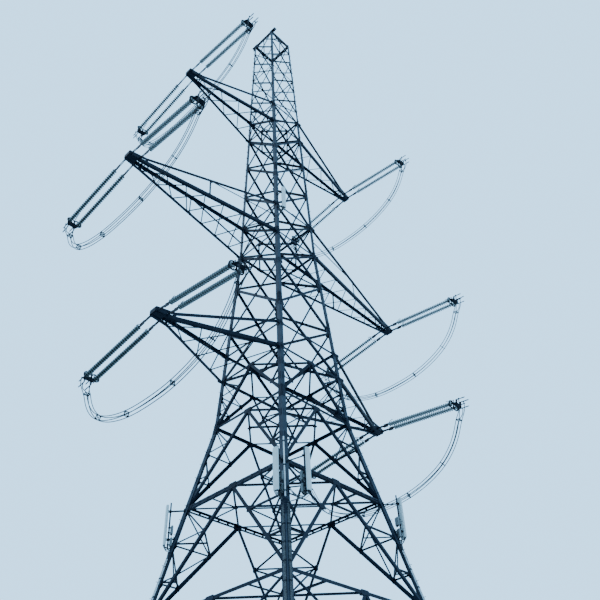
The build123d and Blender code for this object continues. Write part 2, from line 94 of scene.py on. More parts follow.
class FinishSheet:
    sockets = {"colour": "Base Color", "roughness": "Roughness", "metallic": "Metallic", "coat": "Coat Weight",
               "coatRoughness": "Coat Roughness", "specular": "Specular IOR Level", "ior": "IOR",
               "transmission": "Transmission Weight"}

    def __init__(self, name):
        self.material = bpy.data.materials.new(name)
        self.material.use_nodes = True
        self.tree = self.material.node_tree
        self.shader = self.tree.nodes["Principled BSDF"]

    def node(self, kind, settings, sockets, output=0):
        made = self.tree.nodes.new(kind)
        for key, value in settings.items():
            setattr(made, key, value)
        for key, value in sockets.items():
            self.feed(made.inputs[key], value)
        return Wire(self, made.outputs[output])

    def feed(self, socket, value):
        if isinstance(value, Wire):
            self.tree.links.new(value.socket, socket)
        else:
            socket.default_value = (*value, 1.0) if socket.type == "RGBA" else value

    def objectPoints(self, stretch=(1, 1, 1)):
        places = self.node("ShaderNodeTexCoord", {}, {}, "Object")
        return self.node("ShaderNodeMapping", {}, {"Vector": places, "Scale": stretch})

    def noise(self, scale, detail=3.0, rough=0.55, stretch=(1, 1, 1)):
        return self.node("ShaderNodeTexNoise", {}, {"Vector": self.objectPoints(stretch), "Scale": scale,
                                                    "Detail": detail, "Roughness": rough})

    def cells(self, scale, output):
        return self.node("ShaderNodeTexVoronoi", {"feature": "F1"},
                         {"Vector": self.objectPoints(), "Scale": scale}, output)

    def tint(self):
        return self.node("ShaderNodeAttribute", {"attribute_name": "tint"}, {}, "Fac")

    def between(self, value, low, high):
        return self.node("ShaderNodeMapRange", {"clamp": True}, {"Value": value, "From Min": low, "From Max": high})

    def blend(self, factor, first, second):
        return self.node("ShaderNodeMix", {"data_type": "RGBA"}, {0: factor, 6: first, 7: second}, 2)

    def finish(self, relief, **values):
        for key, value in values.items():
            self.feed(self.shader.inputs[self.sockets[key]], value)
        height, strength, distance = relief
        bump = self.node("ShaderNodeBump", {}, {"Strength": strength, "Distance": distance, "Height": height})
        self.feed(self.shader.inputs["Normal"], bump)
        return self.material


# zinc coated steel: a mottled grey with small crystals, rain streaks down the faces and a dull stain where
# water stands; tint makes each bar of a lattice a shade of its own
# the dark and pale greys are painted shade: far darker than zinc's own grey, they stand in for the shade on steel seen
# against the bright sky
steelLooksPaintedShade = {
    # the legs are paler than the lattice: painted light, a lit copy of the same steel for the legs' outer faces
    "leg": {"dark": (0.010, 0.015, 0.024), "pale": (0.032, 0.044, 0.060), "tintSpan": 0.2, "stain": 0.2, "gloss": 0.08},
    "lattice": {"dark": (0.003, 0.005, 0.010), "pale": (0.011, 0.017, 0.028), "tintSpan": 0.9, "stain": 0.2,
                "gloss": 0.05},
    "plate": {"dark": (0.003, 0.005, 0.010), "pale": (0.012, 0.018, 0.030), "tintSpan": 0.5, "stain": 0.3,
              "gloss": 0.05},
    "fitting": {"dark": (0.004, 0.006, 0.010), "pale": (0.018, 0.023, 0.032), "tintSpan": 0.5, "stain": 0.15,
                "gloss": 0.06}}
stainColour = (0.012, 0.012, 0.014)


def zincSteel(kind):
    look = steelLooksPaintedShade[kind]
    sheet = FinishSheet(kind + "Steel")
    mottle, streaks = sheet.noise(2.3, 5.0, 0.62), sheet.noise(1.0, 4.0, 0.6, (26.0, 26.0, 1.6))
    grain, patches = sheet.noise(420.0, 2.0, 0.5), sheet.noise(5.5, 6.0, 0.7)
    crystal = sheet.node("ShaderNodeSeparateColor", {}, {"Color": sheet.cells(90.0, "Color")})
    body = mottle * 0.55 + streaks * 0.45 + (crystal - 0.5) * 0.16 + (sheet.tint() - 0.5) * look["tintSpan"] * 0.5
    weather = sheet.between(body, 0.28, 0.78)
    runs = sheet.between(streaks * 0.7 + mottle * 0.5, 0.70, 0.86) * 0.35
    washed = sheet.blend(runs, sheet.blend(weather, look["dark"], look["pale"]), [c * 1.7 for c in look["pale"]])
    stain = sheet.between(patches * 0.6 + streaks * 0.5, 0.64, 0.80) * look["stain"]
    rough = 0.44 + (1.0 - weather) * 0.14 + stain * 0.4 + (crystal - 0.5) * 0.12
    return sheet.finish((grain * 0.35 + crystal * 0.3 + mottle * 0.8, 0.35, 0.0012), roughness=rough,
                        colour=sheet.blend(stain, washed, stainColour), specular=look["gloss"])


# toughened glass sheds: blue green, each disc a shade of its own, with a thin film of dust
glassLook = {"deep": (0.005, 0.018, 0.019), "clear": (0.018, 0.046, 0.046), "dust": (0.036, 0.050, 0.050)}


def shedGlass(look):
    sheet = FinishSheet("stringGlass")
    film = sheet.between(sheet.noise(14.0, 4.0, 0.6), 0.42, 0.75)
    body = sheet.blend(sheet.tint(), look["deep"], look["clear"])
    return sheet.finish((sheet.noise(60.0, 2.0), 0.08, 0.001), colour=sheet.blend(film * 0.35, body, look["dust"]),
                        roughness=0.10 + film * 0.28, coat=0.6, coatRoughness=0.06, ior=1.5, transmission=0.10)


ironLook = {"dark": (0.008, 0.011, 0.016), "worn": (0.035, 0.040, 0.048)}


def castIron(look):
    sheet = FinishSheet("capIron")
    pits = sheet.noise(180.0, 4.0, 0.65)
    wear = sheet.between(sheet.noise(9.0, 4.0), 0.35, 0.72)
    return sheet.finish((pits, 0.3, 0.0008), colour=sheet.blend(wear, look["dark"], look["worn"]),
                        roughness=0.42 + pits * 0.3, metallic=0.6)


# stranded aluminium: the lay of the wires is a fine slanting ripple along the line
strandLook = {"dark": (0.004, 0.006, 0.009), "soot": (0.014, 0.017, 0.022), "groove": (0.006, 0.008, 0.011)}


def strandedAluminium(look):
    sheet = FinishSheet("conductorMetal")
    lay = sheet.node("ShaderNodeTexWave", {"wave_type": "BANDS", "bands_direction": "DIAGONAL"},
                     {"Vector": sheet.objectPoints(), "Scale": 95.0, "Distortion": 0.4, "Detail": 1.0})
    soot = sheet.between(sheet.noise(3.5, 5.0, 0.6), 0.35, 0.7)
    base = sheet.blend(soot, look["dark"], look["soot"])
    return sheet.finish((lay, 0.4, 0.0012), colour=sheet.blend(lay * 0.35, base, look["groove"]),
                        roughness=0.45 + soot * 0.22, metallic=0.1, specular=0.15)


# painted and plastic skins: dust or scuffs lie over a clean colour in patches, on a fine grain; limits say
# where in the noise of the patches wear begins and is full, and share how much of the colour it takes
shellSkin = {"patches": (7.0, 5.0, 0.6, (3.0, 3.0, 0.6)), "limits": (0.48, 0.80), "share": 0.55,
             "rough": (0.46, 0.2), "grain": (240.0, 3.0), "relief": (0.12, 0.0006), "coat": 0.12}
skinLooks = {
    "shellPlastic": {"clean": (0.44, 0.48, 0.47), "worn": (0.24, 0.26, 0.255), **shellSkin},
    "boxShell": {"clean": (0.105, 0.115, 0.120), "worn": (0.055, 0.060, 0.062), **shellSkin},
    "blackCable": {"clean": (0.022, 0.024, 0.027), "worn": (0.075, 0.080, 0.085), "patches": (24.0, 4.0),
                   "limits": (0.45, 0.75), "share": 1.0, "rough": (0.52, 0.2), "grain": (300.0, 2.0),
                   "relief": (0.1, 0.0005), "coat": 0.0},
    "paleCable": {"clean": (0.50, 0.52, 0.53), "worn": (0.22, 0.22, 0.21), "patches": (6.0, 5.0, 0.6, (4.0, 4.0, 0.8)),
                  "limits": (0.45, 0.8), "share": 1.0, "rough": (0.55, 0.15), "grain": (150.0, 3.0),
                  "relief": (0.15, 0.0008), "coat": 0.0}}


def wornSkin(name):
    look, sheet = skinLooks[name], FinishSheet(name)
    wear = sheet.between(sheet.noise(*look["patches"]), *look["limits"])
    least, span = look["rough"]
    return sheet.finish((sheet.noise(*look["grain"]), *look["relief"]), coat=look["coat"], coatRoughness=0.3,
                        colour=sheet.blend(wear * look["share"], look["clean"], look["worn"]),
                        roughness=least + wear * span)


# cast concrete: a pale grey body with sand, pores and damp from the ground up
concreteLook = {"shade": (0.27, 0.265, 0.25), "pale": (0.46, 0.455, 0.43), "wet": (0.14, 0.135, 0.12),
                "pore": (0.12, 0.115, 0.105), "dampTop": 0.12}


def pierConcrete(look):
    sheet = FinishSheet("concrete")
    sand, cloud = sheet.noise(320.0, 3.0, 0.6), sheet.noise(6.0, 6.0, 0.65)
    pit = 1.0 - sheet.between(sheet.cells(55.0, 0), 0.05, 0.16)
    height = sheet.node("ShaderNodeSeparateXYZ", {}, {"Vector": sheet.objectPoints()}, "Z")
    damp = 1.0 - sheet.between(height + (cloud - 0.5) * 0.16, 0.0, look["dampTop"])
    base = sheet.blend(sheet.between(cloud * 0.8 + sand * 0.3, 0.35, 0.75), look["shade"], look["pale"])
    wet = sheet.blend(damp * 0.6, base, look["wet"])
    return sheet.finish((sand * 0.4 + cloud * 0.8 - pit * 0.9, 0.6, 0.003),
                        colour=sheet.blend(pit * 0.7, wet, look["pore"]), roughness=0.86 - damp * 0.2)


litLegSteelPaintedLight, latticeSteel, plateSteel, fittingSteel = map(zincSteel, ("leg", "lattice", "plate", "fitting"))
stringGlass, capIron, conductorMetal = shedGlass(glassLook), castIron(ironLook), strandedAluminium(strandLook)
shellPlastic, boxShell, blackCable, paleCable = map(wornSkin, skinLooks)
concrete = pierConcrete(concreteLook)
print("finishes mixed")

# the tower's levels and widths in metres, the same as those of the solids
tower = {"belts": {"ground": 5.827, "lower": 8.732, "waist": 11.186},
         "armBottom": {"lower": 12.826, "middle": 18.226, "upper": 25.207},
         "armTop": {"lower": 13.774, "middle": 19.707, "upper": 26.537},
         "top": 33.327, "bendLevels": (0.0, 11.186, 18.226, 33.327), "bendHalves": (3.685, 1.413, 0.976, 0.604),
         "legWall": 0.012, "flanges": (0.150, 0.130, 0.110, 0.080)}
low, high = tower["armBottom"], tower["armTop"]
corners = {"front_left": 0, "front_right": 90, "back_right": 180, "back_left": 270}
sides = {"front": 0, "back": 180, "left": -90, "right": 90}
xWay, yWay, zWay = np.eye(3)
rng = np.random.default_rng(7)


def halfWidth(z):
    return np.interp(z, tower["bendLevels"], tower["bendHalves"])


def flangeAt(z):
    limits = [tower["belts"]["waist"], low["middle"], high["upper"]]
    return np.asarray(tower["flanges"])[np.searchsorted(limits, z, side="right")]


def unit(v):
    return v / np.linalg.norm(v, axis=-1, keepdims=True)


def columns(*parts):
    return np.stack(np.broadcast_arrays(*(np.asarray(p, float) for p in parts)), axis=-1)


def turnZ(points, degrees):
    c, s = math.cos(math.radians(degrees)), math.sin(math.radians(degrees))
    return points @ np.array([[c, s, 0], [-s, c, 0], [0, 0, 1]])


# angles evenly round a circle, and points on a circle (cos a, sin a) spanned by two vectors
def around(count, shift=0.0):
    return 2 * math.pi * (np.arange(count) + shift) / count


def wheel(first, second, sides):
    a = around(sides)[:, None]
    return np.cos(a) * first[:, None] + np.sin(a) * second[:, None]


# an angle section, counter-clockwise: one flange flat from -width/2 to width/2, the other standing inward
def angleProfile(width, inner, wall, flip, lift):
    h, t = width / 2, wall
    plain = np.array([(-h, 0), (h, 0), (h, t), (t - h, t), (t - h, inner), (-h, inner)])
    return (plain if flip > 0 else plain[::-1] * (-1, 1)) + (0, lift)


def rectProfile(halfU, halfV):
    return np.array([(-halfU, -halfV), (halfU, -halfV), (halfU, halfV), (-halfU, halfV)])


def cutCorners(width, height, cut):
    w, h = width / 2, height / 2
    return np.array([(-w + cut, -h), (w - cut, -h), (w, -h + cut), (w, h - cut),
                     (w - cut, h), (-w + cut, h), (-w, h - cut), (-w, -h + cut)])


def roundProfile(radius, sides):
    return radius * columns(np.cos(around(sides)), np.sin(around(sides)))


# rings of k points, one after another, are joined by quads, and a face closes the first and the last ring
def ringFaces(bodies, rings, k, closed=False):
    base = (np.arange(bodies) * rings * k)[:, None]
    ring, i = np.arange(rings if closed else rings - 1)[:, None], np.arange(k)
    here, there, j = ring * k, (ring + 1) % rings * k, (i + 1) % k
    quads = base[..., None, None] + np.stack([here + i, here + j, there + j, there + i], axis=-1)
    caps = [] if closed else [np.concatenate([base + i[::-1], base + (rings - 1) * k + i])]
    return [quads.reshape(-1, 4)] + caps


# a side of the tower: its points are (u, z) on the inner face of the leg flanges,
# y = lift + wall - halfWidth(z) for the front side, which is turned about the middle for the others
def onSide(u, z, lift=0.0):
    return columns(u, lift + tower["legWall"] - halfWidth(z), z)


def sideInward(z, step=0.02):
    lean = (halfWidth(z + step) - halfWidth(z - step)) / (2 * step)
    return unit(columns(0, 1, lean))


# bolt heads: their height as a share of the radius, and their rows up a leg and columns across its flange
# round a node, where a plate reaches in by a share of the flange
nodes = {"headShare": 1.15, "rows": (-0.1, -0.05, 0.0, 0.05, 0.1), "columns": (0.3, 0.68), "bolt": 0.012,
         "lowest": 0.45, "inset": 0.4}


def hangOn(made, node):
    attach(made, "root")
    if node:
        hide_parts(node)


class Piece:
    # gathers the shapes of one piece: each is turned about the tower's middle by turn degrees; tint is a number,
    # or one for each of its bodies, and finish counts in the piece's materials
    def __init__(self, name):
        self.name, self.turn, self.shapes = name, 0, []

    def at(self, turn):
        self.turn = turn
        return self

    def add(self, points, groups, tint=0.5, finish=0, smooth=False):
        points = turnZ(points.reshape(-1, 3), self.turn)
        self.shapes.append((points, groups, np.repeat(tint, len(points) // np.size(tint)), finish, smooth))

    # a bar: the flat profile (across, inward) stands at the start and at the end of a straight line,
    # and each profile edge carried from one to the other gives a side; across = inward x along
    def bars(self, starts, ends, inward, profile, tint=0.5, finish=0, smooth=False):
        starts, ends = np.broadcast_arrays(np.atleast_2d(starts), np.atleast_2d(ends))
        profile = np.broadcast_to(profile, (len(starts),) + np.shape(profile)[-2:])
        along = unit(ends - starts)
        inward = inward - np.sum(inward * along, axis=1, keepdims=True) * along
        inward = unit(inward)
        ring = profile[:, :, :1] * np.cross(inward, along)[:, None] + profile[:, :, 1:] * inward[:, None]
        points = np.stack([starts[:, None] + ring, ends[:, None] + ring], axis=1)
        self.add(points, ringFaces(len(starts), 2, profile.shape[1]), tint, finish, smooth)

    # a plate is a short bar along its normal; its outline is given across (up x normal) and up
    def plates(self, centres, normals, up, outline, thickness, tint=0.5, finish=0):
        half = unit(np.asarray(normals, float)) * thickness / 2
        self.bars(centres - half, centres + half, up, outline, tint, finish)

    # a hexagon head stands on the plate at each centre
    def bolts(self, centres, normals, radius, tint=0.7, finish=1):
        normals = np.broadcast_to(normals, centres.shape)
        up = np.where(np.abs(normals[:, 2:]) > 0.9, xWay, zWay)
        heads = centres + normals * radius * nodes["headShare"]
        self.bars(centres, heads, up, roundProfile(radius, 6), tint, finish)

    # six sided pins, level, with this half of their length to each side
    def pins(self, centres, half, radius, tint=0.7, finish=0):
        self.bars(centres - half, centres + half, zWay, roundProfile(radius, 6), tint, finish)

    # a turned body: radius as a function of the distance along the axis, carried once round it
    def turned(self, origins, axes, profile, segments, tint=0.5, finish=0):
        origins, profile = np.atleast_2d(origins), np.asarray(profile, float)
        axes = np.broadcast_to(axes, origins.shape)
        first = unit(np.cross(axes, np.where(np.abs(axes[:, 2:]) > 0.9, xWay, zWay)))
        spokes = wheel(first, np.cross(axes, first), segments)[:, None]
        along, radius = profile[:, :1, None], profile[:, 1:, None]
        points = origins[:, None, None] + along * axes[:, None, None] + radius * spokes
        self.add(points, ringFaces(len(origins), len(profile), segments), tint, finish, True)

    # a tube: a ring of points stands square to the path at each of its points and is joined to the next
    def tube(self, path, radius, sides, reference, tint=0.5, finish=0, closed=False):
        steps = np.roll(path, -1, axis=0) - np.roll(path, 1, axis=0) if closed else np.gradient(path, axis=0)
        first = unit(np.cross(steps, reference))
        points = path[:, None] + radius * wheel(first, np.cross(unit(steps), first), sides)
        self.add(points, ringFaces(1, len(path), sides, closed), tint, finish, True)

    # a flat convex outline in space, given thickness along a vector
    def slab(self, points, thickness, tint=0.35, finish=1):
        points, thickness = np.asarray(points, float), np.asarray(thickness, float)
        if np.cross(points[1] - points[0], points[2] - points[1]) @ thickness < 0:
            points = points[::-1]
        self.add(np.concatenate([points, points + thickness]), ringFaces(1, 2, len(points)), tint, finish)

    # bars of a shade each, with bolt heads on the flat flange at these distances from both ends
    def lattice(self, starts, ends, inward, profile, bolts=(), boltRadius=0.011):
        self.bars(starts, ends, inward, profile, rng.random(len(starts)))
        run, face = unit(ends - starts), inward * profile[3, 1]
        for place in bolts:
            for centres in (starts + run * place, ends - run * place):
                self.bolts(centres + face, inward, boltRadius, 0.75)

    # angles on a side, from (u, z) to (u, z): size is the width of the flat flange and the height of the other,
    # lift the gap to the leg's flange, and the margins are left free at the start and at the end
    def sideAngles(self, lines, size, lift, margins, wall=0.006, flip=1, bolts=(0.03, 0.075)):
        lines = np.asarray(lines, float)
        starts, ends = onSide(lines[:, 0], lines[:, 1]), onSide(lines[:, 2], lines[:, 3])
        run = unit(ends - starts)
        run = run / np.maximum(np.abs(run[:, :1]), 0.4)       # the margins are measured across the side
        self.lattice(starts + run * margins[0], ends - run * margins[1], sideInward((lines[:, 1] + lines[:, 3]) / 2),
                     angleProfile(*size, wall, flip, lift), bolts)

    # plates on a side: the outline is given from the node towards the middle of the side, and upwards
    def sidePlates(self, u, z, outline, lift=0.0, thick=0.008, finish=1):
        u, z = np.broadcast_arrays(np.atleast_1d(np.asarray(u, float)), np.asarray(z, float))
        chosen = np.where((u > 0)[:, None, None], outline, outline[::-1] * (-1, 1))
        normals = sideInward(z)
        self.plates(onSide(u, z, lift + thick / 2), normals, np.cross(xWay, normals), chosen, thick,
                    rng.random(len(u)), finish)

    # a plate from leg to bracing at each level, and bolt heads on the leg's outer face in two columns
    def legNodes(self, levels, sign, reach, height):
        levels = np.asarray(levels, float)
        outline = np.array([(-0.02, -height), (reach * 0.45, -height), (reach, -height * 0.35),
                            (reach, height * 0.35), (reach * 0.45, height), (-0.02, height)])
        self.sidePlates(sign * (halfWidth(levels) - flangeAt(levels) * nodes["inset"]), levels, outline)
        level, row, column = np.meshgrid(levels, nodes["rows"], nodes["columns"], indexing="ij")
        z = np.maximum(level + row, nodes["lowest"]).ravel()
        u = sign * (halfWidth(z) - flangeAt(z) * column.ravel())
        self.bolts(onSide(u, z, -tower["legWall"]), -sideInward(z), nodes["bolt"])

    def done(self, node="", finishes=(latticeSteel, plateSteel), slot="lattice_steel"):
        mesh = bpy.data.meshes.new(self.name)
        faces, numbers, smooths, base = [], [], [], 0
        for points, groups, tint, finish, smooth in self.shapes:
            for group in groups:
                faces += (group + base).tolist()
                numbers += [finish] * len(group)
                smooths += [smooth] * len(group)
            base += len(points)
        mesh.from_pydata(np.concatenate([s[0] for s in self.shapes]), [], faces)
        for material in finishes:
            mesh.materials.append(material)
        mesh.polygons.foreach_set("material_index", numbers)
        mesh.polygons.foreach_set("use_smooth", smooths)
        tints = np.concatenate([s[2] for s in self.shapes]).astype(np.float32)
        mesh.attributes.new("tint", "FLOAT", "POINT").data.foreach_set("value", tints)
        hangOn(addObject(self.name, mesh), node)


# portals: a raking strut from each leg to the middle of the belt above, ties between strut and leg,
# and ties round the corner from one side to the next
portals = {"stretches": ((0.22, 5.827, 4), (5.827, 8.732, 2)), "strut": (0.092, 0.068), "tie": (0.044, 0.040),
           "hip": (0.042, 0.036), "shaftStretches": ((8.732, 11.186, 2), (11.186, 12.826, 2)), "footRise": 0.10,
           "node": (0.11, 0.11), "strutPlate": (0.13, 0.17, 0.035), "hipLift": 0.035}


# the levels of the ties, and where they meet the leg and the strut
def portalTies(zLow, zHigh, bays, sign):
    t = np.arange(1, bays + 1) / (bays + 1)
    z = zLow + t * (zHigh - zLow)
    return z, sign * halfWidth(z), sign * halfWidth(zLow) * (1 - t)


def portalHalf(piece, zLow, zHigh, bays, sign):
    z, onLeg, onStrut = portalTies(zLow, zHigh, bays, sign)
    foot = zLow + (portals["footRise"] if zLow == portals["stretches"][0][0] else 0)       # clear of the shoe
    rising = columns(onStrut, z, np.append(onLeg[1:], sign * halfWidth(zHigh)), np.append(z[1:], zHigh))
    piece.sideAngles([(sign * halfWidth(zLow), foot, 0, zHigh)], portals["strut"], 0.008, (0.05, 0.03), 0.008, sign,
                     (0.05, 0.11, 0.17))
    piece.sideAngles(columns(onLeg, z, onStrut, z), portals["tie"], 0.016, (0.05, 0.0), 0.005, 1, (0.025,))
    piece.sideAngles(rising, portals["tie"], 0.021, (0.0, 0.05), 0.005, -sign, (0.025,))
    piece.legNodes(z, sign, *portals["node"])
    piece.sidePlates(onStrut, z, cutCorners(*portals["strutPlate"]), 0.016, 0.006)


def makeLegBracing():
    profile, lift = angleProfile(*portals["hip"], 0.005, 1, 0.0), portals["hipLift"]
    for name, angle in corners.items():
        piece = Piece("legBracing_" + name)
        for stretch in portals["stretches"]:
            portalHalf(piece.at(angle), *stretch, -1)
            portalHalf(piece.at(angle - 90), *stretch, 1)
            z, onLeg, onStrut = portalTies(*stretch, -1)
            here, there = turnZ(onSide(onStrut, z, lift), angle), turnZ(onSide(-onStrut, z, lift), angle - 90)
            leg = turnZ(onSide(onLeg + 2 * lift, z, lift), angle)
            for starts, ends in ((here, there), (here[:-1], there[1:]), (leg, (here + there) / 2)):
                piece.at(0).lattice(starts, ends, zWay, profile, (0.03,))
        piece.done("leg_bracing_" + name)


makeLegBracing()
print("leg bracing stands")

# the braced sides above the thick belt: portals up to the lower crossarms, crosses above them
bracing = {"throatShares": (0.342, 0.713), "cagePanels": 3, "peakPanels": 8, "cross": (0.086, 0.062),
           "peak": (0.058, 0.040), "throatPlate": (0.17, 0.15), "cagePlate": (0.14, 0.13), "peakPlate": (0.09, 0.085),
           "meetPlate": (1.5, 1.9, 0.4), "meetBolts": ((-0.014, -0.02), (0.014, 0.02))}
throatLevels = low["lower"] + np.array([0, *bracing["throatShares"], 1]) * (low["middle"] - low["lower"])
cageLevels = np.array([low["middle"], *np.linspace(high["middle"], low["upper"], bracing["cagePanels"] + 1),
                       high["upper"]])
peakSteps = np.linspace(high["upper"], tower["top"], bracing["peakPanels"] + 1)


def crossedBays(piece, levels, size, plate, margin, wall):
    w = halfWidth(levels)
    rising = columns(-w[:-1], levels[:-1], w[1:], levels[1:])
    meets = levels[:-1] + np.diff(levels) * w[:-1] / (w[:-1] + w[1:])
    for lines, lift in ((rising, 0.008), (rising * (-1, 1, -1, 1), 0.008 + wall)):
        piece.sideAngles(lines, size, lift, (margin, margin), wall, 1, (0.03, 0.07))
    for sign in (-1, 1):
        piece.legNodes(levels[1:-1], sign, *plate)
    piece.sidePlates(0 * meets, meets, cutCorners(*(size[0] * share for share in bracing["meetPlate"])))
    z, (du, dz) = np.repeat(meets, 2), np.tile(np.transpose(bracing["meetBolts"]), len(meets))
    piece.bolts(onSide(du, z + dz), -sideInward(z), 0.011)


def makeSideBracing():
    for name, angle in sides.items():
        shaft, throat, cage = (Piece(part + "Bracing_" + name).at(angle) for part in ("shaft", "throat", "cage"))
        for stretch in portals["shaftStretches"]:
            for sign in (-1, 1):
                portalHalf(shaft, *stretch, sign)
        crossedBays(throat, throatLevels, bracing["cross"], bracing["throatPlate"], 0.045, 0.006)
        crossedBays(cage, cageLevels, bracing["cross"], bracing["cagePlate"], 0.035, 0.006)
        # the crosses of the peak start half a step apart on neighbouring sides
        steps = peakSteps[::2] if angle in (-90, 90) else np.r_[peakSteps[0], peakSteps[1:-1:2], peakSteps[-1]]
        crossedBays(cage, steps, bracing["peak"], bracing["peakPlate"], 0.03, 0.004)
        shaft.done("shaft_bracing_" + name)
        throat.done("throat_bracing_" + name)
        cage.done("cage_bracing_" + name)


makeSideBracing()
print("sides braced")

# belts: an angle along each side, two with battens in the thick one, and a braced plan inside them
belts = {"depth": 0.066, "thinDepth": 0.050, "heights": {"ground": 0.092, "lower": 0.124, "waist": 0.092},
         "armHeight": 0.084, "nodeHeight": 0.056, "nodeDepth": 0.022, "rowWidth": 0.052, "plan": (0.056, 0.044),
         "batten": 0.34, "battenEnds": (0.25, 0.20), "battenPlate": (0.07, 0.94, 0.012),
         "middlePlate": (0.30, 1.45, 0.03), "planPlate": (0.12, 0.12, 0.03), "planStep": 0.006}


def beltRing(piece, z, height, depth, double=False):
    w, row = float(halfWidth(z)), belts["rowWidth"]
    offset = (height - row) / 2
    rows = ((z - offset, row, -1), (z + offset, row, 1)) if double else ((z, height, 1),)
    for angle in corners.values():
        piece.at(angle)
        for level, width, flip in rows:
            piece.sideAngles([(-w, level, w, level)], (width, depth), 0.010, (0.05, 0.05), 0.007, flip)
        if double:
            first, last = belts["battenEnds"]
            width, share, cut = belts["battenPlate"]
            spots = np.arange(first - w, w - last, belts["batten"])
            piece.sidePlates(spots, z, cutCorners(width, height * share, cut), 0.002)
        width, share, cut = belts["middlePlate"]
        piece.sidePlates(0.0, z, cutCorners(min(width, w * 0.3), height * share, cut), 0.0, 0.010)
        for sign in (-1, 1):
            piece.legNodes([z], sign, min(0.14, w * 0.11), min(0.11, w * 0.06 + height / 2))
    piece.at(0)


# the plan inside a belt: a square between the middles of the sides, with a cross in it where crossed is 1 or more,
# and with ties from the cross to the corners and sides where it is 2
def beltPlan(piece, z, depth, crossed):
    w = float(halfWidth(z)) - tower["legWall"] - depth / 2
    q = w / 2
    quarters = [(s, t) for s in (-1, 1) for t in (-1, 1)]
    lines = [(0, -w, w, 0), (w, 0, 0, w), (0, w, -w, 0), (-w, 0, 0, -w)]
    if crossed:
        lines += [(-q, -q, q, q), (-q, q, q, -q)]
    if crossed > 1:
        for far, aside in ((w * 0.96, w * 0.96), (w, q), (q, w)):
            lines += [(s * q, t * q, s * far, t * aside) for s, t in quarters]
    lines = np.array(lines)
    level = z + np.arange(len(lines)) % 3 * belts["planStep"]       # bars that cross lie over each other
    starts, ends = (columns(lines[:, k], lines[:, k + 1], level) for k in (0, 2))
    piece.lattice(starts, ends, zWay, angleProfile(*belts["plan"], 0.005, 1, -0.015), (0.04,))
    spots = np.array([(0, -w), (w, 0), (0, w), (-w, 0)]) * 0.97
    if crossed:
        spots = np.concatenate([spots, q * np.array(quarters), [(0, 0)]])
    piece.plates(columns(*spots.T, z - 0.019), zWay, yWay, cutCorners(*belts["planPlate"]), 0.008, 0.5, 1)


def makeBelts():
    for name, z in tower["belts"].items():
        piece = Piece(name + "Belt")
        beltRing(piece, z, belts["heights"][name], belts["depth"], name == "lower")
        beltPlan(piece, z, belts["depth"], 1 if name == "waist" else 2)
        piece.done(name + "_belt")
    for arm in low:
        piece = Piece(arm + "ArmBelts")
        beltRing(piece, low[arm], belts["armHeight"], belts["thinDepth"])
        beltPlan(piece, low[arm], belts["thinDepth"], 0)
        beltRing(piece, high[arm], belts["armHeight"], belts["thinDepth"])
        piece.done(arm + "_arm_belts")
    piece = Piece("nodeBelts")
    beltRing(piece, peakSteps[bracing["peakPanels"] // 2], belts["nodeHeight"], belts["nodeDepth"])
    piece.done("node_belts")


makeBelts()
print("belts laid")

# crossarms: angle chords that taper to the tip, crossed lacing under them, one post in the long pair
arms = {"reach": {"lower": 4.895, "middle": 6.545, "upper": 4.735}, "panels": {"lower": 4, "middle": 7, "upper": 4},
        "post": {"lower": 0, "middle": 0.54, "upper": 0}, "chord": 0.084, "upperChord": 0.064, "spread": 0.040,
        "innerFlange": 0.096, "inset": 0.004, "lacing": (0.034, 0.017), "postSize": (0.044, 0.036),
        "tipLength": 0.640, "tipInner": 0.205, "tipOuter": 0.135, "tipRise": 0.150, "wall": 0.008,
        "chordBolts": (0.05, 0.1, 0.15), "postPlate": (0.15, 0.12, 0.03), "rootPlate": (0.27, 0.115, 0.03),
        "rootBolts": ((-0.11, -0.06, 0.06, 0.11), (-0.025, 0.025)), "lacingPlate": (0.13, 0.09, 0.025)}


# the middle lines of the lower and the upper chord
def armAxes(level):
    xs, tipY = arms["tipLength"] - arms["reach"][level] - 0.012, arms["chord"] / 2 - arms["tipInner"]
    axes = []
    for z, rise in ((low[level], 0), (high[level], arms["tipRise"])):
        w = float(halfWidth(z))
        axes.append(np.array([(-w - 0.002, arms["chord"] / 2 + arms["inset"] - w, z), (xs, tipY, low[level] + rise)]))
    return axes


def alongAxis(axis, x):
    t = (np.asarray(x, float) - axis[0, 0]) / (axis[1, 0] - axis[0, 0])
    return axis[0] + t[..., None] * (axis[1] - axis[0])


def armSides(piece, level):
    bottom, top = armAxes(level)
    c = arms["chord"]
    for s in (1, -1):
        flipY, inward = (1.0, s, 1.0), s * yWay
        for axis, width, flip in ((bottom, c, s), (top, arms["upperChord"], -s)):
            profile = angleProfile(width + arms["spread"], arms["innerFlange"], arms["wall"], flip, -c / 2)
            piece.lattice(axis[:1] * flipY, axis[1:] * flipY, inward, profile, arms["chordBolts"])
        if arms["post"][level]:
            x = bottom[0, 0] + (bottom[1, 0] - bottom[0, 0]) * arms["post"][level]
            foot, head = alongAxis(bottom, x), alongAxis(top, x)
            middle = (bottom[0] + top[0]) / 2 - 0.01 * xWay
            profile = angleProfile(*arms["postSize"], 0.005, s, 0.010 - c / 2)
            piece.lattice(np.array([foot, head]) * flipY, np.array([head, middle]) * flipY, inward, profile, (0.03,))
            spots = np.array([foot + 0.03 * zWay, head - 0.02 * zWay]) * flipY + inward * (0.012 - c / 2)
            piece.plates(spots, inward, zWay, cutCorners(*arms["postPlate"]), 0.006, 0.5, 1)
        roots = np.array([bottom[0], top[0]]) * flipY - 0.02 * xWay
        piece.plates(roots - inward * (c / 2 + 0.004), inward, zWay, cutCorners(*arms["rootPlate"]), 0.010, 0.5, 1)
        rows, levels = arms["rootBolts"]
        grid = np.array([(dx, 0, dz) for dx in rows for dz in levels])
        for root in roots:
            piece.bolts(root - inward * (c / 2 + 0.009) + grid, -inward, 0.012)


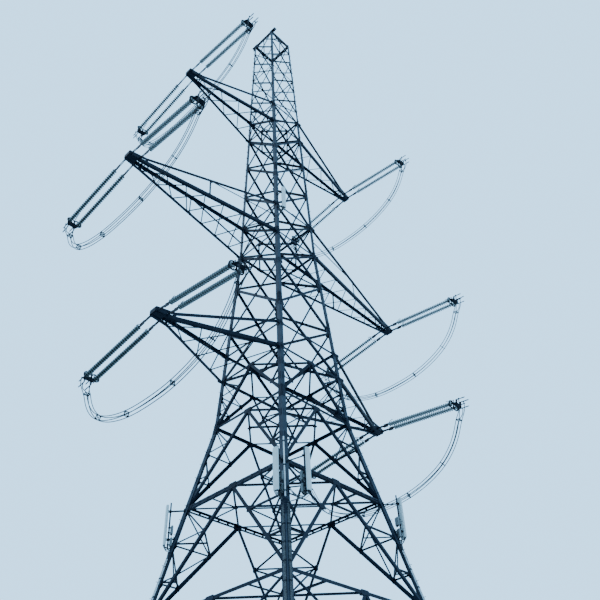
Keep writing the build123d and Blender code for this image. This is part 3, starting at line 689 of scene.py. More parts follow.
def armPlan(piece, level):
    bottom, top = armAxes(level)
    z = low[level] - arms["chord"] / 2
    x = np.linspace(bottom[0, 0], bottom[1, 0], arms["panels"][level] + 1)
    y = -(alongAxis(bottom, x)[:, 1] + alongAxis(top, x)[:, 1]) / 2
    for s, lift in ((1, -0.005), (-1, -0.011)):
        profile = angleProfile(*arms["lacing"], 0.004, s, 0.0)
        starts, ends = columns(x[:-1], s * y[:-1], z + lift), columns(x[1:], -s * y[1:], z + lift)
        piece.lattice(starts, ends, -zWay, profile, (0.03,), 0.009)
    centres = columns(np.tile(x[1:-1], 2), np.append(y[1:-1], -y[1:-1]), z - 0.002)
    piece.plates(centres, zWay, yWay, cutCorners(*arms["lacingPlate"]), 0.005, 0.5, 1)


def makeArms():
    for level in low:
        for hand, angle in (("left", 0), ("right", 180)):
            for part, draw in (("sides", armSides), ("plan", armPlan)):
                piece = Piece(level + hand.title() + "Arm" + part.title()).at(angle)
                draw(piece, level)
                piece.done(level + "_" + hand + "_crossarm_" + part)


makeArms()
print("crossarms hung")

# tension strings: two of thirty glass discs to a set, a set each way along the line at every tip
strings = {"gap": 0.300, "inset": 0.070, "startY": 0.251808, "drop": 8.0, "link": 0.430, "pitch": 0.085, "count": 30,
           "bundle": 0.225, "glass": ((0.030, 0.022), (0.036, 0.058), (0.050, 0.080), (0.058, 0.077), (0.047, 0.030)),
           "cap": ((-0.002, 0.011), (0.004, 0.025), (0.032, 0.027)), "glassSides": 10, "capSides": 6,
           "pinFrom": 0.030, "pin": 0.009}


# how far out the middle between a tip's two strings lies
def setMiddle(level):
    return arms["reach"][level] - strings["inset"] - strings["gap"] / 2


class StringSets:
    # the four sets of a level: left and right tips, each way along the line; a point is given as
    # (across, along, up) in a set and found for all four at once
    def __init__(self, level):
        hand, way = np.array([(-1, -1), (-1, 1), (1, -1), (1, 1)]).T
        drop = math.radians(strings["drop"])
        self.origin = columns(hand * setMiddle(level), way * strings["startY"], low[level])
        self.out = columns(0, way * math.cos(drop), -math.sin(drop))
        self.up = columns(0, way * math.sin(drop), math.cos(drop))

    def at(self, across, along, up):
        spots = columns(across, along, up).reshape(-1, 3)
        points = self.origin[:, None] + spots[:, :1] * xWay + spots[:, 1:2] * self.out[:, None]
        return (points + spots[:, 2:] * self.up[:, None]).reshape(-1, 3)


def makeStrings():
    along = strings["link"] + strings["pitch"] * np.arange(strings["count"])
    for level in low:
        sets = StringSets(level)
        for hand, rows in (("left", slice(0, 2)), ("right", slice(2, 4))):
            piece = Piece(level + hand.title() + "Strings")
            for across in (-strings["gap"] / 2, strings["gap"] / 2):
                origins = sets.at(across, along, 0.0).reshape(4, -1, 3)[rows].reshape(-1, 3)
                axes = np.repeat(sets.out[rows], strings["count"], axis=0)
                piece.turned(origins, axes, strings["glass"], strings["glassSides"], rng.random(len(origins)))
                piece.turned(origins, axes, strings["cap"], strings["capSides"], 0.5, 1)
                piece.bars(origins + axes * strings["pinFrom"], origins + axes * strings["pitch"], xWay,
                           roundProfile(strings["pin"], 5), 0.5, 1)
            piece.done(level + "_" + hand + "_insulator_strings", (stringGlass, capIron), "string_glass")


makeStrings()
print("strings hung")

# what joins the strings to the tips and to the bundles; along is measured from the lug, in metres
fitting = {"pinAt": -0.027, "strap": (0.015, 0.205), "adjust": (0.215, 0.395), "clampStart": 3.150,
           "ringOff": 0.123, "ringRadius": 0.123, "ringAt": 2.945, "ringRod": 0.022, "hornRod": 0.011,
           "cheekOff": 0.016, "linkPins": (0.040, 0.180, 0.215, 0.345), "adjustPins": (0.235, 0.265, 0.295, 0.325),
           "yokeAt": 0.085, "clampPlate": (0.064, 0.262, 0.018), "terminal": (0.028, 0.040, 0.006),
           "yoke": ((-0.200, -0.085), (0.200, -0.085), (0.205, -0.045), (0.150, 0.085), (-0.150, 0.085),
                    (-0.205, -0.045)),
           "sleeves": ((-1, 1, 0.088, -0.034), (1, 1, 0.088, 0.034), (-1, -1, 0.050, 0.0), (1, -1, 0.050, 0.0)),
           "clamp": ((-0.036, 0.008), (-0.012, 0.009), (-0.006, 0.0165), (0.05, 0.0165), (0.055, 0.0145),
                     (0.17, 0.0145), (0.175, 0.0165), (0.262, 0.0165), (0.292, 0.011), (0.298, 0.004)),
           "sleeve": ((-0.020, 0.010), (-0.016, 0.0145), (0.045, 0.0145), (0.085, 0.0105), (0.087, 0.006))}


def makeFittings():
    g, b = strings["gap"] / 2, strings["bundle"] / 2
    end, clampAt = strings["link"] + strings["pitch"] * strings["count"], fitting["clampStart"]
    both = np.array([-g, g])
    cheeks = np.add.outer(both, (-fitting["cheekOff"], fitting["cheekOff"])).ravel()
    for level in low:
        sets, piece = StringSets(level), Piece(level + "StringFittings")
        # links and plates between the lug and the first cap: (across, start, end), profile and tint
        for across, start, stop, profile, tint in (
                (cheeks, -0.045, 0.055, rectProfile(0.016, 0.004), 0.4),
                (cheeks, *fitting["strap"], rectProfile(0.026, 0.004), 0.6),
                (both, *fitting["adjust"], cutCorners(0.130, 0.026, 0.008), 0.15),
                (both, 0.335, strings["link"] + 0.002, roundProfile(0.018, 8), 0.5),
                (both, end - 0.006, end + 0.045, roundProfile(0.019, 8), 0.5)):
            piece.bars(sets.at(across, start, 0.0), sets.at(across, stop, 0.0), xWay, profile, tint)
        # pins across them: (along, up, half length, radius)
        for along, up, half, radius in ((fitting["pinAt"], 0.0, 0.028, 0.010), (end + 0.035, 0.0, 0.024, 0.010),
                                        *((a, 0.0, 0.027, 0.009) for a in fitting["linkPins"]),
                                        *((a, 0.018, 0.011, 0.006) for a in fitting["adjustPins"])):
            piece.pins(sets.at(both, along, up), half * xWay, radius)
        for lift in (-0.0075, 0.0075):
            spots = sets.at(0.0, end + fitting["yokeAt"], 0.0) + sets.up * lift
            piece.plates(spots, sets.up, sets.out, fitting["yoke"], 0.007, 0.35)
        heads = sets.at([-g, g, -b, b], [end + 0.03, end + 0.03, end + 0.14, end + 0.14], 0.011)
        piece.bolts(heads, np.repeat(sets.up, 4, axis=0), 0.014, 0.8, 0)
        for a in (-b, b):
            outline = cutCorners(*fitting["clampPlate"])
            piece.plates(sets.at(a, clampAt - 0.018, 0.0), xWay, sets.up, outline, 0.012, 0.4)
        # a dead-end clamp on each conductor, with a terminal that turns the jumper down
        origins = sets.at([-b, -b, b, b], clampAt, [-b, b, -b, b])
        piece.turned(origins, np.repeat(sets.out, 4, axis=0), fitting["clamp"], 12, 0.9)
        for side, top, along, off in fitting["sleeves"]:
            seat = sets.at(side * b, clampAt + along, top * b)
            beside = seat + xWay * off
            stop = beside + xWay * side * 0.012
            piece.bars(seat, stop, sets.out, cutCorners(*fitting["terminal"]), 0.6)
            piece.turned(beside - zWay * 0.004, -zWay, fitting["sleeve"], 10, 0.8)
        # a grading ring goes round the last disc of each string: u = off + r cos a, v = r sin a
        a, r = around(28), fitting["ringRadius"]
        off = fitting["ringOff"] * np.array([-1, 1])
        for middle in off:
            loops = sets.at(middle + r * np.cos(a), fitting["ringAt"], r * np.sin(a)).reshape(4, -1, 3)
            for loop, out in zip(loops, sets.out):
                piece.tube(loop, fitting["ringRod"], 8, out, 0.1, 0, True)
        for v in (-r, r):
            piece.bars(sets.at(off, fitting["ringAt"], v), sets.at(off, end + 0.06, v), xWay, roundProfile(0.009, 6))
        piece.bars(sets.at(off, end + 0.055, -r), sets.at(off, end + 0.055, r), xWay, rectProfile(0.011, 0.006))
        # arcing horns curve up from both ends of a string, y = s, z = height (1 - (1 - s)^2)
        s = np.linspace(0, 1, 7)
        for spots, base, run, height in ((both, 0.375, 0.22, 0.150), ((0.0,), end + 0.03, -0.34, 0.230)):
            for across in spots:
                for horn in sets.at(across, base + run * s, height * (1 - (1 - s) ** 2)).reshape(4, -1, 3):
                    piece.tube(horn, fitting["hornRod"], 6, xWay, 0.6)
        piece.done(level + "_string_fittings", (fittingSteel,), "fitting_steel")


makeFittings()
print("fittings joined")

# jumper loops: four conductors to a loop; the route is (along the line, below the arm) in metres
jumper = {"route": ((3.235, -0.985), (3.030, -1.440), (2.735, -1.845), (2.355, -2.175), (1.910, -2.410),
                    (1.495, -2.560), (1.080, -2.665), (0.665, -2.730), (0.250, -2.755)),
          "starts": {1: ((3.4733, -0.3600, 0.034), (3.4720, -0.4500, 0.042), (3.4500, -0.6400, 0.036)),
                     -1: ((3.4036, -0.5880, 0.0), (3.3960, -0.6700, 0.0), (3.3400, -0.8000, 0.0))},
          "diameter": 0.024, "spread": 0.062, "lengths": {1: 9.43, -1: 8.66},
          "spacers": (0.11, 0.25, 0.40, 0.60, 0.75, 0.89),
          "collar": ((-0.030, 0.010), (-0.027, 0.0155), (0.027, 0.0155), (0.030, 0.010))}


# side is -1 or 1 across the bundle; ring is 1 for the outer conductors of a loop and -1 for the inner ones
def jumperPoints(side, ring):
    route = np.array(jumper["route"])
    path = np.concatenate([route, route[::-1] * (-1, 1)])
    run = unit(np.gradient(path, axis=0))
    path = path + ring * jumper["spread"] * run[:, ::-1] * (-1, 1)       # square to the run, out of the loop
    starts = np.array(jumper["starts"][ring])
    head = np.column_stack([side * (strings["bundle"] / 2 + starts[:, 2]), starts[:, :2]])
    body = np.column_stack([np.full(len(path), side * jumper["spread"]), path])
    return np.concatenate([head, body, head[::-1] * (1, -1, 1)])


def makeCord(name, points, node):
    data = bpy.data.curves.new(name, "CURVE")
    data.dimensions = "3D"
    spline = data.splines.new("NURBS")
    spline.points.add(len(points) - 1)
    spline.points.foreach_set("co", np.column_stack([points, np.ones(len(points))]).ravel())
    spline.order_u, spline.use_endpoint_u, spline.resolution_u = 3, True, 6
    cord = addObject(name, data)
    bare = bpy.data.meshes.new_from_object(cord)       # the drawn middle line, for the spacers
    line = np.zeros(3 * len(bare.vertices))
    bare.vertices.foreach_get("co", line)
    bpy.data.meshes.remove(bare)
    data.bevel_depth, data.bevel_resolution, data.use_fill_caps = jumper["diameter"] / 2, 2, True
    data.materials.append(conductorMetal)
    hangOn(cord, node)
    return cord, line.reshape(-1, 3)


def addSpacers(piece, lines):
    for share in jumper["spacers"]:
        at = round(share * (len(lines[0]) - 1))
        spots = np.array([line[at] for line in lines])
        runs = unit(np.array([line[at + 1] - line[at - 1] for line in lines]))
        run = unit(runs.mean(axis=0))
        ring = spots[[0, 1, 3, 2]]
        piece.bars(ring, np.roll(ring, -1, axis=0), run, cutCorners(0.026, 0.018, 0.005))
        piece.bars(spots.mean(axis=0), spots, run, cutCorners(0.018, 0.014, 0.004), 0.4)
        piece.turned(spots, runs, jumper["collar"], 10, 0.6)


def makeJumpers():
    for level in low:
        piece, cords = Piece(level + "Spacers"), []
        for hand, h in (("Left", -1), ("Right", 1)):
            middle = (h * setMiddle(level), 0, low[level])
            lines = []
            for ring, side in ((1, -1), (1, 1), (-1, -1), (-1, 1)):
                points = jumperPoints(side, ring) + middle
                name = level + hand + "Jumper" + str(len(lines) + 1)
                cord, line = makeCord(name, points, level + "_jumpers")
                cords.append((cord, points[0], jumper["lengths"][ring]))
                lines.append(line)
            addSpacers(piece, lines)
        piece.done("", (fittingSteel,), "fitting_steel")


makeJumpers()
print("jumper loops hung")

# panel antennas: a shell whose section is a flattened ring, |x/a|^n + |y/b|^n = 1, carried up the panel and drawn
# in at both ends, on a round pole with clamps; feeders are strapped to the pole and to the leg
antennas = {"size": (0.075, 0.155, 1.100), "power": 3.4, "pole": 0.021, "overrun": 0.080, "standoff": 0.095,
            "shares": (0.15, 0.85), "bar": 0.036, "bracket": (0.004, 0.030), "bracketLifts": (-0.019, 0.019),
            "clamp": (0.094, 0.046, 0.010), "legPlate": (0.15, 0.10, 0.02), "plugs": (-0.050, -0.017, 0.017, 0.050),
            "places": ((-1, -1, 0.084, -0.121, 7.750, 185), (-1, -1, -0.391, 0.289, 7.750, 280),
                       (-1, 1, 0.054, 0.074, 7.750, 150), (1, -1, 0.054, 0.069, 7.750, 340),
                       (-1, -1, -0.150, 0.150, 19.350, 265)),
            "ends": ((0.2, 1.0), (0.47, 1.0), (0.488, 0.97), (0.497, 0.90), (0.5, 0.80)),
            "connector": ((-0.002, 0.012), (0.012, 0.012), (0.014, 0.009), (0.034, 0.009), (0.036, 0.005)),
            "cableFaces": "yxxy", "cableEnd": 0.36, "sag": (0.14, 0.20, 0.17, 0.24),
            "fan": (-0.020, -0.007, 0.007, 0.020), "loopFan": (-0.045, -0.015, 0.015, 0.045),
            "legFan": (-0.0198, -0.0063, 0.0072, 0.0207), "legSeat": (0.050, 0.018, 0.012)}


# the foot of an antenna's pole, the way its panel faces and the way along the panel's width
def polePlace(sx, sy, dx, dy, foot, yaw):
    corner, yaw = float(halfWidth(foot)), math.radians(yaw)
    facing = np.array([math.cos(yaw), math.sin(yaw), 0])
    return np.array([sx * (corner + dx), sy * (corner + dy), foot]), facing, np.cross(zWay, facing)


def panelShell(piece, middle, facing, across):
    a, power = around(32), 2 / antennas["power"]
    depth, width, height = antennas["size"]
    x, y = (np.sign(f) * np.abs(f) ** power * size / 2 for f, size in ((np.cos(a), depth), (np.sin(a), width)))
    upper = np.array(antennas["ends"])
    rows = np.concatenate([upper[::-1] * (-1, 1), upper])[:, None]
    points = middle + rows[..., 1:] * (x[:, None] * facing + y[:, None] * across) + rows[..., :1] * height * zWay
    piece.add(points, ringFaces(1, len(rows), len(a)), 0.5, 0, True)


# a path from start to goal: a smooth step s^2 (3 - 2 s) carries it aside while it falls evenly
def easedPath(start, goal, count):
    s = np.linspace(0, 1, count)
    step = s * s * (3 - 2 * s)
    return start + (goal - start) * columns(step, step, s)


# where the k-th feeder lies on a leg, on the face that looks along x or y: in from the edge, and out of the face
def cableSpot(z, sx, sy, k, face):
    w, (edge, step, out) = float(halfWidth(z)), antennas["legSeat"]
    inside, outside = w - edge - step * k, w + out
    return np.array([sx * inside, sy * outside, z] if face == "y" else [sx * outside, sy * inside, z])


def makeAntennas():
    shells, mounts = Piece("panelAntennas"), Piece("antennaMounts")
    depth, width, height = antennas["size"]
    pipe, tall = antennas["pole"], height + 2 * antennas["overrun"]
    tube = ((0.0, pipe * 0.8), (0.004, pipe), (tall - 0.004, pipe), (tall, pipe * 0.8))
    hook = angleProfile(antennas["bar"], antennas["bar"], 0.005, 1, -0.018)
    for index, place in enumerate(antennas["places"]):
        sx, sy = place[:2]
        base, facing, across = polePlace(*place)
        middle = base + zWay * height / 2 + facing * antennas["standoff"]
        panelShell(shells, middle, facing, across)
        seats = middle - zWay * height / 2 + np.reshape(antennas["plugs"], (-1, 1)) * across
        shells.turned(seats, -zWay, antennas["connector"], 10, 0.5, 1)
        for end in (-1, 1):
            cap = middle + zWay * end * (height / 2 - 0.0015)
            shells.plates(cap, zWay, facing, cutCorners(width * 0.72, depth * 0.7, 0.015), 0.006, 0.5, 2)
        poleEnd = base - zWay * antennas["overrun"]
        mounts.turned(poleEnd, zWay, tube, 14, 0.6)
        seated = []
        for share in antennas["shares"]:
            centre = base + zWay * share * height
            z = centre[2]
            for lift in antennas["bracketLifts"]:
                start = centre + zWay * lift
                stop = start + facing * (antennas["standoff"] - depth / 2 + 0.004)
                mounts.bars(start, stop, across, rectProfile(*antennas["bracket"]), 0.4)
            for way in (-1, 1):       # clamp halves round the pole, and the bolts beside it
                mounts.plates(centre + facing * way * 0.026, facing, zWay, cutCorners(*antennas["clamp"]), 0.012)
                mounts.pins(centre + across * way * 0.036, facing * 0.045, 0.006, 0.8)
            flange = float(flangeAt(z))
            seat = float(halfWidth(z)) - flange / 2
            arm = np.array([sx * seat, sy * seat, z]) - centre
            stop = centre + arm * (1 - flange * 0.62 / np.linalg.norm(arm))
            mounts.lattice(centre[None], stop[None], zWay, hook, (0.03,), 0.009)
            mounts.plates(stop, arm, zWay, cutCorners(*antennas["legPlate"]), 0.010)
            seated.append(stop)
        strap = poleEnd - facing * 0.030 + zWay * 0.01       # feeders run from the panel to the pole's foot
        plugs = seats - zWay * 0.03
        for plug, offset in zip(plugs, antennas["fan"]):
            mounts.tube(easedPath(plug, strap + across * offset, 12), 0.006, 7, across, 0.5, 1)
        # slack loops from the panel's foot to its arm: the middle hangs down by sag (1 - (2 s - 1)^2)
        s = np.linspace(0, 1, 12)[:, None]
        for plug, sag, aside in zip(plugs, antennas["sag"], antennas["loopFan"]):
            reach = seated[0] + zWay * aside - plug
            path = plug + reach * s - zWay * sag * (1 - (2 * s - 1) ** 2)
            mounts.tube(path, 0.007, 7, np.cross(reach, zWay), 0.5, 1)
        if index >= len(antennas["cableFaces"]):       # the feeders of the high antenna end at its pole
            continue
        for k, offset in enumerate(antennas["legFan"]):       # feeders from the pole down the leg
            spots = (strap[2] - 0.30, antennas["cableEnd"])
            goal, end = (cableSpot(z, sx, sy, k, antennas["cableFaces"][index]) for z in spots)
            mounts.tube(easedPath(strap + across * offset, goal, 9), 0.006, 7, across, 0.5, 1)
            mounts.bars(goal, end, (sx, sy, 0), roundProfile(0.0075, 8), 0.5, 1 if index < 2 else 2, True)
    shells.done("panel_antennas", (shellPlastic, fittingSteel, blackCable), "antenna_shell")
    mounts.done("antenna_mounts", (fittingSteel, blackCable, paleCable), "fitting_steel")


makeAntennas()
print("antennas mounted")

# what is bolted to the legs: cover plates where a leg is spliced, climbing bolts, cable clips, a blank plate
# on one strut, and a pale pipe along the outer edge of one leg between the near panels
legTrim = {"tag": (-0.83, 7.76, 0.21, 0.13), "pipe": (7.60, 9.42), "pipeRadius": 0.019, "pipeOff": 0.022,
           "pipeClips": (0.08, 0.5, 0.92), "splices": (4.35, 7.35, 11.186, 14.9, 18.226, 22.0, 26.537, 30.2),
           "cover": 0.42, "climbStep": 0.20, "climbReach": 0.075, "climbFrom": 1.6, "climbers": (90, 270),
           "clipStep": 0.45, "clipSpan": (0.6, 7.2), "clipFaces": ((0, -1), (0, 1), (90, 1), (270, -1))}
legOutward = {-1: -yWay, 1: -xWay}


# a point of a leg face: which is -1 for the face that looks along the side, 1 for the one beside it
def legFace(z, which, along, out):
    w = halfWidth(z)
    spots = columns(along - w, -w - out, z)
    return spots if which < 0 else spots[..., [1, 0, 2]]


def makeLegTrim():
    splices = Piece("legSplices")
    z, half = np.array(legTrim["splices"]), legTrim["cover"] / 2
    f = flangeAt(z + 0.01)
    profile = np.array([[(-w, -0.004), (w, -0.004), (w, 0.004), (-w, 0.004)] for w in f * 0.46])
    for angle in corners.values():
        splices.at(angle)
        for which, outward in legOutward.items():
            lower, upper = (legFace(z + way * half, which, f * 0.52, 0.004) for way in (which, -which))
            splices.bars(upper, lower, outward, profile, 0.45)
            level, row, column = np.meshgrid(z, np.linspace(-0.17, 0.17, 6), (0.26, 0.78), indexing="ij")
            along = flangeAt(level.ravel() + 0.01) * column.ravel()
            splices.bolts(legFace((level + row).ravel(), which, along, 0.008), outward, 0.012, 0.75, 0)
    u, z, width, height = legTrim["tag"]
    splices.at(0).sidePlates(u, z, cutCorners(width, height, 0.015), -0.005, 0.012, 0)
    splices.done("", (plateSteel,), "leg_steel")
    trim = Piece("climbingBolts")
    steps = np.arange(legTrim["climbFrom"], tower["top"] - 0.3, legTrim["climbStep"])
    for angle in legTrim["climbers"]:
        trim.at(angle)
        for (which, outward), z in zip(legOutward.items(), (steps[::2], steps[1::2])):
            base = legFace(z, which, flangeAt(z) * 0.5, 0.0)
            tip = base + outward * legTrim["climbReach"]
            trim.bars(base, tip, zWay, roundProfile(0.006, 6), 0.6)
            trim.bolts(tip, outward, 0.010, 0.8, 0)
            trim.bolts(base, outward, 0.011, 0.8, 0)
    z = np.arange(*legTrim["clipSpan"], legTrim["clipStep"])
    for angle, which in legTrim["clipFaces"]:
        trim.at(angle).plates(legFace(z, which, 0.077, 0.012), legOutward[which], zWay,
                              cutCorners(0.092, 0.030, 0.006), 0.024, 0.3)
    trim.at(0)
    ends, across = np.array(legTrim["pipe"]), np.array([1.0, -1.0, 0])
    edge = -halfWidth(ends) - legTrim["pipeOff"]
    start, stop = columns(edge, edge, ends)
    trim.bars(start, stop, across, roundProfile(legTrim["pipeRadius"], 14), 0.5, 1, True)
    for share in legTrim["pipeClips"]:
        spot = start + (stop - start) * share
        trim.plates(spot, zWay, across, cutCorners(0.066, 0.052, 0.012), 0.030, 0.3)
    trim.done("", (fittingSteel, paleCable), "fitting_steel")


# radio boxes: a case clamped to the pole behind an antenna, with ribs at even spacing over its width
radios = {"size": (0.145, 0.230, 0.070), "levels": (0.10, 0.42), "behind": 0.052, "ribs": (-0.44, 0.44, 13),
          "rib": (0.0018, 0.011), "plugs": (-0.35, 0.35, 5), "bracket": (0.030, 0.008), "bracketLifts": (-0.3, 0.3),
          "plug": ((0, 0.009), (0.02, 0.009), (0.034, 0.006))}


def makeRadios():
    piece = Piece("radioBoxes")
    width, height, depth = radios["size"]
    for place in antennas["places"][:4]:
        base, facing, across = polePlace(*place)
        out, side = -facing, -across
        for level in radios["levels"]:
            pole = base + zWay * level
            centre = pole + out * (radios["behind"] + depth / 2 - 0.010)
            piece.plates(centre, out, zWay, cutCorners(width, height, 0.012), depth * 0.55)
            piece.plates(centre + out * depth * 0.30, out, zWay, cutCorners(width * 0.9, height * 0.92, 0.018), 0.010)
            ribs = centre - out * depth * 0.36 + np.linspace(*radios["ribs"])[:, None] * width * side
            half = zWay * height * 0.44
            piece.bars(ribs - half, ribs + half, out, rectProfile(*radios["rib"]))
            for lift in radios["bracketLifts"]:
                seat = pole + zWay * lift * height
                piece.bars(seat - out * 0.030, seat + out * (radios["behind"] + 0.004), zWay,
                           rectProfile(*radios["bracket"]), 0.4, 1)
            plugs = centre - zWay * (height / 2 - 0.001) + np.linspace(*radios["plugs"])[:, None] * width * side
            piece.turned(plugs, -zWay, radios["plug"], 8, 0.5, 1)
    piece.done("", (boxShell, fittingSteel), "antenna_shell")


makeLegTrim()
makeRadios()
print("legs trimmed")

# feet: ribs between leg and shoe plate, and anchor bolts with two nuts each
feet = {"plateTop": 0.220, "boltSpots": 0.130, "boltRadius": 0.014, "boltHeight": 0.075, "nut": (0.026, 0.022, 0.024),
        "ribs": (0.05, 0.11), "ribThickness": 0.010,
        "rib": ((0, 0), (0.085, 0), (0.085, 0.02), (0.012, 0.11), (0, 0.11))}


def makeFeet():
    piece = Piece("feetFixings")
    top, r, tall = feet["plateTop"], feet["boltRadius"], feet["boltHeight"]
    w, rib = float(halfWidth(top)), np.array(feet["rib"])
    centre = tower["flanges"][0] / 2 - w
    spots = np.array([(a, b, 0) for a in (-1, 1) for b in (-1, 1)]) * feet["boltSpots"] + (centre, centre, top)
    nutRadius, nutHeight, nutStep = feet["nut"]
    for angle in corners.values():
        seats = turnZ(spots, angle)
        piece.at(0).turned(seats, zWay, ((0, r), (tall - 0.004, r), (tall, r * 0.7)), 10, 0.7)
        for lift in (0.0, nutStep):
            piece.bars(seats + zWay * lift, seats + zWay * (lift + nutHeight), xWay, roundProfile(nutRadius, 6))
        # a rib stands on the shoe plate against a flange: its outline is (away from the leg, up)
        piece.at(angle)
        for along in feet["ribs"]:
            for spot, outward in (((along - w, -w, top), -yWay), ((-w, along - w, top), -xWay)):
                normal = np.cross(outward, zWay) * feet["ribThickness"]
                piece.slab(spot + rib[:, :1] * outward + rib[:, 1:] * zWay - normal / 2, normal, 0.5, 0)
    piece.done("", (plateSteel,), "fitting_steel")


makeFeet()
print("feet fixed")

# crossarm tips: the chords run together between side plates, a bottom plate and an end plate; the lugs of the
# strings stand out at both sides, each a plate with a hole
tips = {"low": 0.042, "plate": 0.012, "sideLength": 0.40, "bottomLength": 0.33, "endDrop": 0.060, "ribAt": 0.20,
        "lug": (0.150, 0.084, 0.020), "lugBore": 0.012, "boreAt": 0.090, "boreMargin": 0.025,
        "boltRows": (0.16, 0.82), "boltSpan": (0.42, 0.96, 7), "across": (0.040, 0.030), "sideThick": 0.008}


# the lugs' outline seen from the hole: rays at even angles end on a box of the lug's length and height
def lugRings():
    length, height, thick = tips["lug"]
    a = around(16, 0.5)
    rays = columns(np.cos(a), np.sin(a))
    ahead = np.where(rays[:, 0] > 0, tips["boreMargin"], length - tips["boreMargin"])
    outer = rays * np.minimum(ahead / np.abs(rays[:, 0]), height / 2 / np.abs(rays[:, 1]))[:, None]
    hole = rays * tips["lugBore"]
    return [(loop, side * thick / 2) for loop, side in ((outer, -1), (outer, 1), (hole, 1), (hole, -1))]


def addTip(piece, level):
    reach, z, c, t = arms["reach"][level], low[level], arms["chord"], tips["plate"]
    x0, x1 = arms["tipLength"] - reach, -reach
    floorZ, roof0 = z - tips["low"], z + arms["tipRise"] + arms["upperChord"] / 2

    def halfAt(x):
        return arms["tipInner"] + (arms["tipOuter"] - arms["tipInner"]) * (x - x0) / (x1 - x0)

    def roofAt(x):
        return roof0 - tips["endDrop"] * (x - x0) / (x1 - x0)

    roof1, side0, side1 = roofAt(x1), halfAt(x0), halfAt(x1)
    for s in (1, -1):       # the chords run on to the end; a plate covers each side, a smaller one the arm's end
        for zStart, zStop, width, flip in ((z, z, c, s), (roof0 - 0.032, roof1 - 0.032, arms["upperChord"], -s)):
            starts = np.array([[x0 - 0.001, -s * (side0 - c / 2), zStart]])
            ends = np.array([[x1 + t + 0.014, -s * (side1 - c / 2), zStop]])
            profile = angleProfile(width + arms["spread"], arms["innerFlange"] - 0.012, 0.008, flip, 0.001 - c / 2)
            piece.lattice(starts, ends, s * yWay, profile)
        xs = x1 + tips["sideLength"]
        outline = ((x1, floorZ), (xs, floorZ), (xs - 0.10, roofAt(xs)), (x1, roof1))
        piece.slab([(x, -s * halfAt(x), up) for x, up in outline], (0, s * t, 0))
        small = ((x0 + 0.004, side0, floorZ + 0.004), (x0 - 0.10, halfAt(x0 - 0.10), floorZ + 0.004),
                 (x0 - 0.06, halfAt(x0 - 0.06), roof0 - 0.01), (x0 + 0.004, side0, roof0 - 0.004))
        piece.slab(np.array(small) * (1, -s, 1), (0, s * tips["sideThick"], 0))
        for share in tips["boltRows"]:
            x = x0 + (x1 - x0) * np.linspace(*tips["boltSpan"])
            heads = columns(x, -s * halfAt(x), floorZ + share * (roofAt(x) - floorZ))
            normal = unit(np.array([(arms["tipOuter"] - arms["tipInner"]) / arms["tipLength"], -s, 0]))
            piece.bolts(heads, normal, 0.011)
    xb, x = x1 + tips["bottomLength"], x1 + tips["ribAt"]
    endB, inner, roof = halfAt(xb), halfAt(x) - t, roofAt(x) - 0.02
    # between the side plates, each from one straight edge to another: the bottom plate, the end plate and a rib
    for first, last, thickness in (((x1, side1, floorZ), (xb, endB, floorZ), (0, 0, t)),
                                   ((x1, side1, floorZ), (x1, side1, roof1), (t, 0, 0)),
                                   ((x, inner, floorZ + t), (x, inner, roof), (tips["sideThick"], 0, 0))):
        piece.slab(np.array([first, first, last, last]) * [(1, s, 1) for s in (-1, 1, 1, -1)], thickness, 0.3)
    # angles across: one where the arm begins, a cross behind the bottom plate, and one over the top
    hw, hb, xa, xc = side0 - 0.03, endB - 0.03, x0 - 0.02, x0 - 0.03
    lines = np.array([(xa, -hw, xa, hw, floorZ + 0.01), (xc, -hw, xb + 0.02, hb, floorZ + 0.012),
                      (xc, hw, xb + 0.02, -hb, floorZ + 0.018), (xa, -hw, xa, hw, roof0 - 0.01)])
    piece.lattice(lines[:, [0, 1, 4]], lines[:, [2, 3, 4]], zWay, angleProfile(*tips["across"], 0.005, 1, 0.0), (0.02,))
    for x in (strings["inset"] - reach, strings["inset"] + strings["gap"] - reach):
        for s in (1, -1):
            centre = np.array([x, s * (arms["tipOuter"] + tips["boreAt"]), z])
            across = s * yWay
            rings = [centre + loop[:, :1] * across + loop[:, 1:] * zWay + s * off * xWay for loop, off in lugRings()]
            piece.add(np.concatenate(rings), ringFaces(1, 4, 16, True), 0.4, 1)
            near, far = s * (arms["tipOuter"] - 0.01), s * (arms["tipOuter"] + 0.055)
            for off in (-0.017, 0.017):
                cheek = ((near, z - 0.040), (far, z - 0.024), (far, z + 0.024), (near, z + 0.075))
                piece.slab([(x + off, *spot) for spot in cheek], (math.copysign(0.006, off), 0, 0))


def makeTips():
    piece = Piece("crossarmTips")
    for level in low:
        for angle in (0, 180):
            addTip(piece.at(angle), level)
    piece.done("crossarm_tips")


makeTips()

# the top: a light girder under the top frame, and an eye with a clamp for each earth wire
topTrim = {"girderDrop": 0.235, "girder": (0.052, 0.040), "zigzag": (0.028, 0.022), "bays": 5,
           "cornerPlate": (0.12, 0.08), "middlePlate": (0.26, 0.15, 0.03), "plateDrops": (0.10, 0.06),
           "eye": (-0.529, 0.766), "eyeRadii": (0.022, 0.030), "eyeRod": 0.007, "strapDrop": 0.052,
           "strap": (0.008, 0.034, 0.002), "strapLength": 0.12, "strapOff": 0.014, "pinDrops": (0.012, 0.108),
           "clamp": ((0.0, 0.008), (0.01, 0.014), (0.12, 0.013), (0.15, 0.009), (0.152, 0.004))}


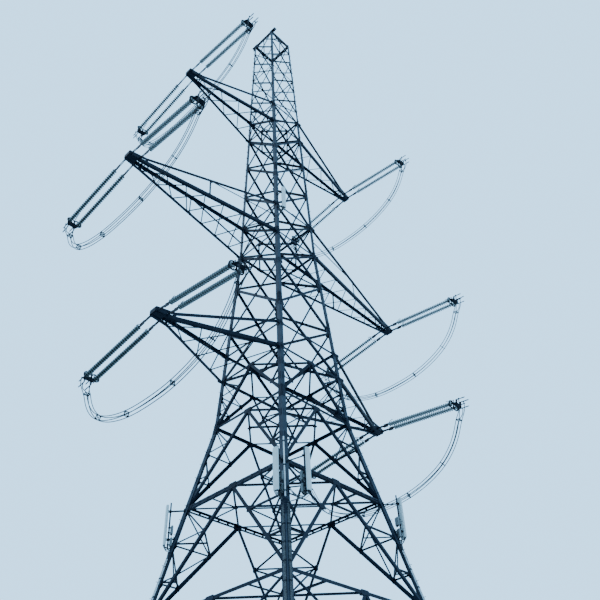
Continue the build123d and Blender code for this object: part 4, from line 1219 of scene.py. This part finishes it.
def makeTopTrim():
    piece, top = Piece("topTrim"), tower["top"]
    w, z = float(halfWidth(top - 0.045)), top - topTrim["girderDrop"]
    u = np.linspace(-w + 0.03, w - 0.03, topTrim["bays"] + 1)
    level = np.where(np.arange(len(u)) % 2, top - 0.05, z)
    for angle in corners.values():
        piece.at(angle)
        for sign in (-1, 1):
            piece.legNodes([top - topTrim["plateDrops"][0]], sign, *topTrim["cornerPlate"])
        piece.sidePlates(0.0, top - topTrim["plateDrops"][1], cutCorners(*topTrim["middlePlate"]))
        piece.sideAngles([(-w, z, w, z)], topTrim["girder"], 0.008, (0.03, 0.03), 0.005)
        zigzag = columns(u[:-1], level[:-1], u[1:], level[1:])
        piece.sideAngles(zigzag, topTrim["zigzag"], 0.014, (0.0, 0.0), 0.004, 1, (0.02,))
    piece.at(0)
    a, (eyeX, eyeY), (wide, tall) = around(20), topTrim["eye"], topTrim["eyeRadii"]
    for s in (-1, 1):
        eye = np.array([eyeX, s * eyeY, top])
        bow = eye + columns(0, wide * np.cos(a), tall * np.sin(a) - 0.024)
        piece.tube(bow, topTrim["eyeRod"], 7, xWay, 0.7, 1, True)
        strap = eye - zWay * topTrim["strapDrop"]
        for way in (-1, 1):
            cheek = strap + xWay * way * topTrim["strapOff"]
            piece.bars(cheek, cheek - zWay * topTrim["strapLength"], xWay, cutCorners(*topTrim["strap"]), 0.5, 1)
        for drop in topTrim["pinDrops"]:
            piece.pins(strap - zWay * drop, xWay * 0.026, 0.008, 0.7, 1)
        piece.turned(strap - zWay * 0.10, -zWay, topTrim["clamp"], 10, 0.6, 1)
    piece.done("", (latticeSteel, fittingSteel))


makeTopTrim()
print("tips and top finished")

# the solids that stay as they are take the same finishes; the legs take the paler leg steel, painted light for their
# lit outer faces
kept = {"leg_": litLegSteelPaintedLight, "pier_": concrete, "shoe_": plateSteel, "top_frame": latticeSteel}
for start, finish in kept.items():
    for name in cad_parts:
        if name.startswith(start) and "bracing" not in name:
            data = bpy.data.objects[name].data
            data.materials.clear()
            data.materials.append(finish)
print("solids finished")

# floor, light and sky
stageLook = {"floor": (0.50, 0.52, 0.54), "floorHalf": 90.0, "sky": (0.36, 0.68, 1.0), "skyStrength": 2.7,
             "sun": 0.4, "sunColour": (1.0, 0.99, 0.97), "sunSize": 12, "sunFrom": (-0.42, 0.52, 0.74)}


def makeStage(s):
    mesh = bpy.data.meshes.new("floor")
    r = s["floorHalf"]
    mesh.from_pydata([(-r, -r, 0), (r, -r, 0), (r, r, 0), (-r, r, 0)], [], [(0, 1, 2, 3)])
    sheet = FinishSheet("floorFinish")
    soft = sheet.between(sheet.noise(0.4, 4.0, 0.6), 0.35, 0.7)
    tone = sheet.blend(soft, [c * 0.94 for c in s["floor"]], s["floor"])
    mesh.materials.append(sheet.finish((sheet.noise(30.0, 4.0), 0.1, 0.004), colour=tone, roughness=0.85))
    addObject("floor", mesh)
    world = bpy.data.worlds.new("sky")
    bpy.context.scene.world = world
    world.use_nodes = True
    ground = world.node_tree.nodes["Background"]
    ground.inputs["Color"].default_value = (*s["sky"], 1.0)
    ground.inputs["Strength"].default_value = s["skyStrength"]
    sun = bpy.data.lights.new("sun", "SUN")
    sun.energy, sun.angle, sun.color = s["sun"], math.radians(s["sunSize"]), s["sunColour"]
    addObject("sun", sun).matrix_world = Vector(s["sunFrom"]).to_track_quat("Z", "Y").to_matrix().to_4x4()


makeStage(stageLook)
print("stage set")
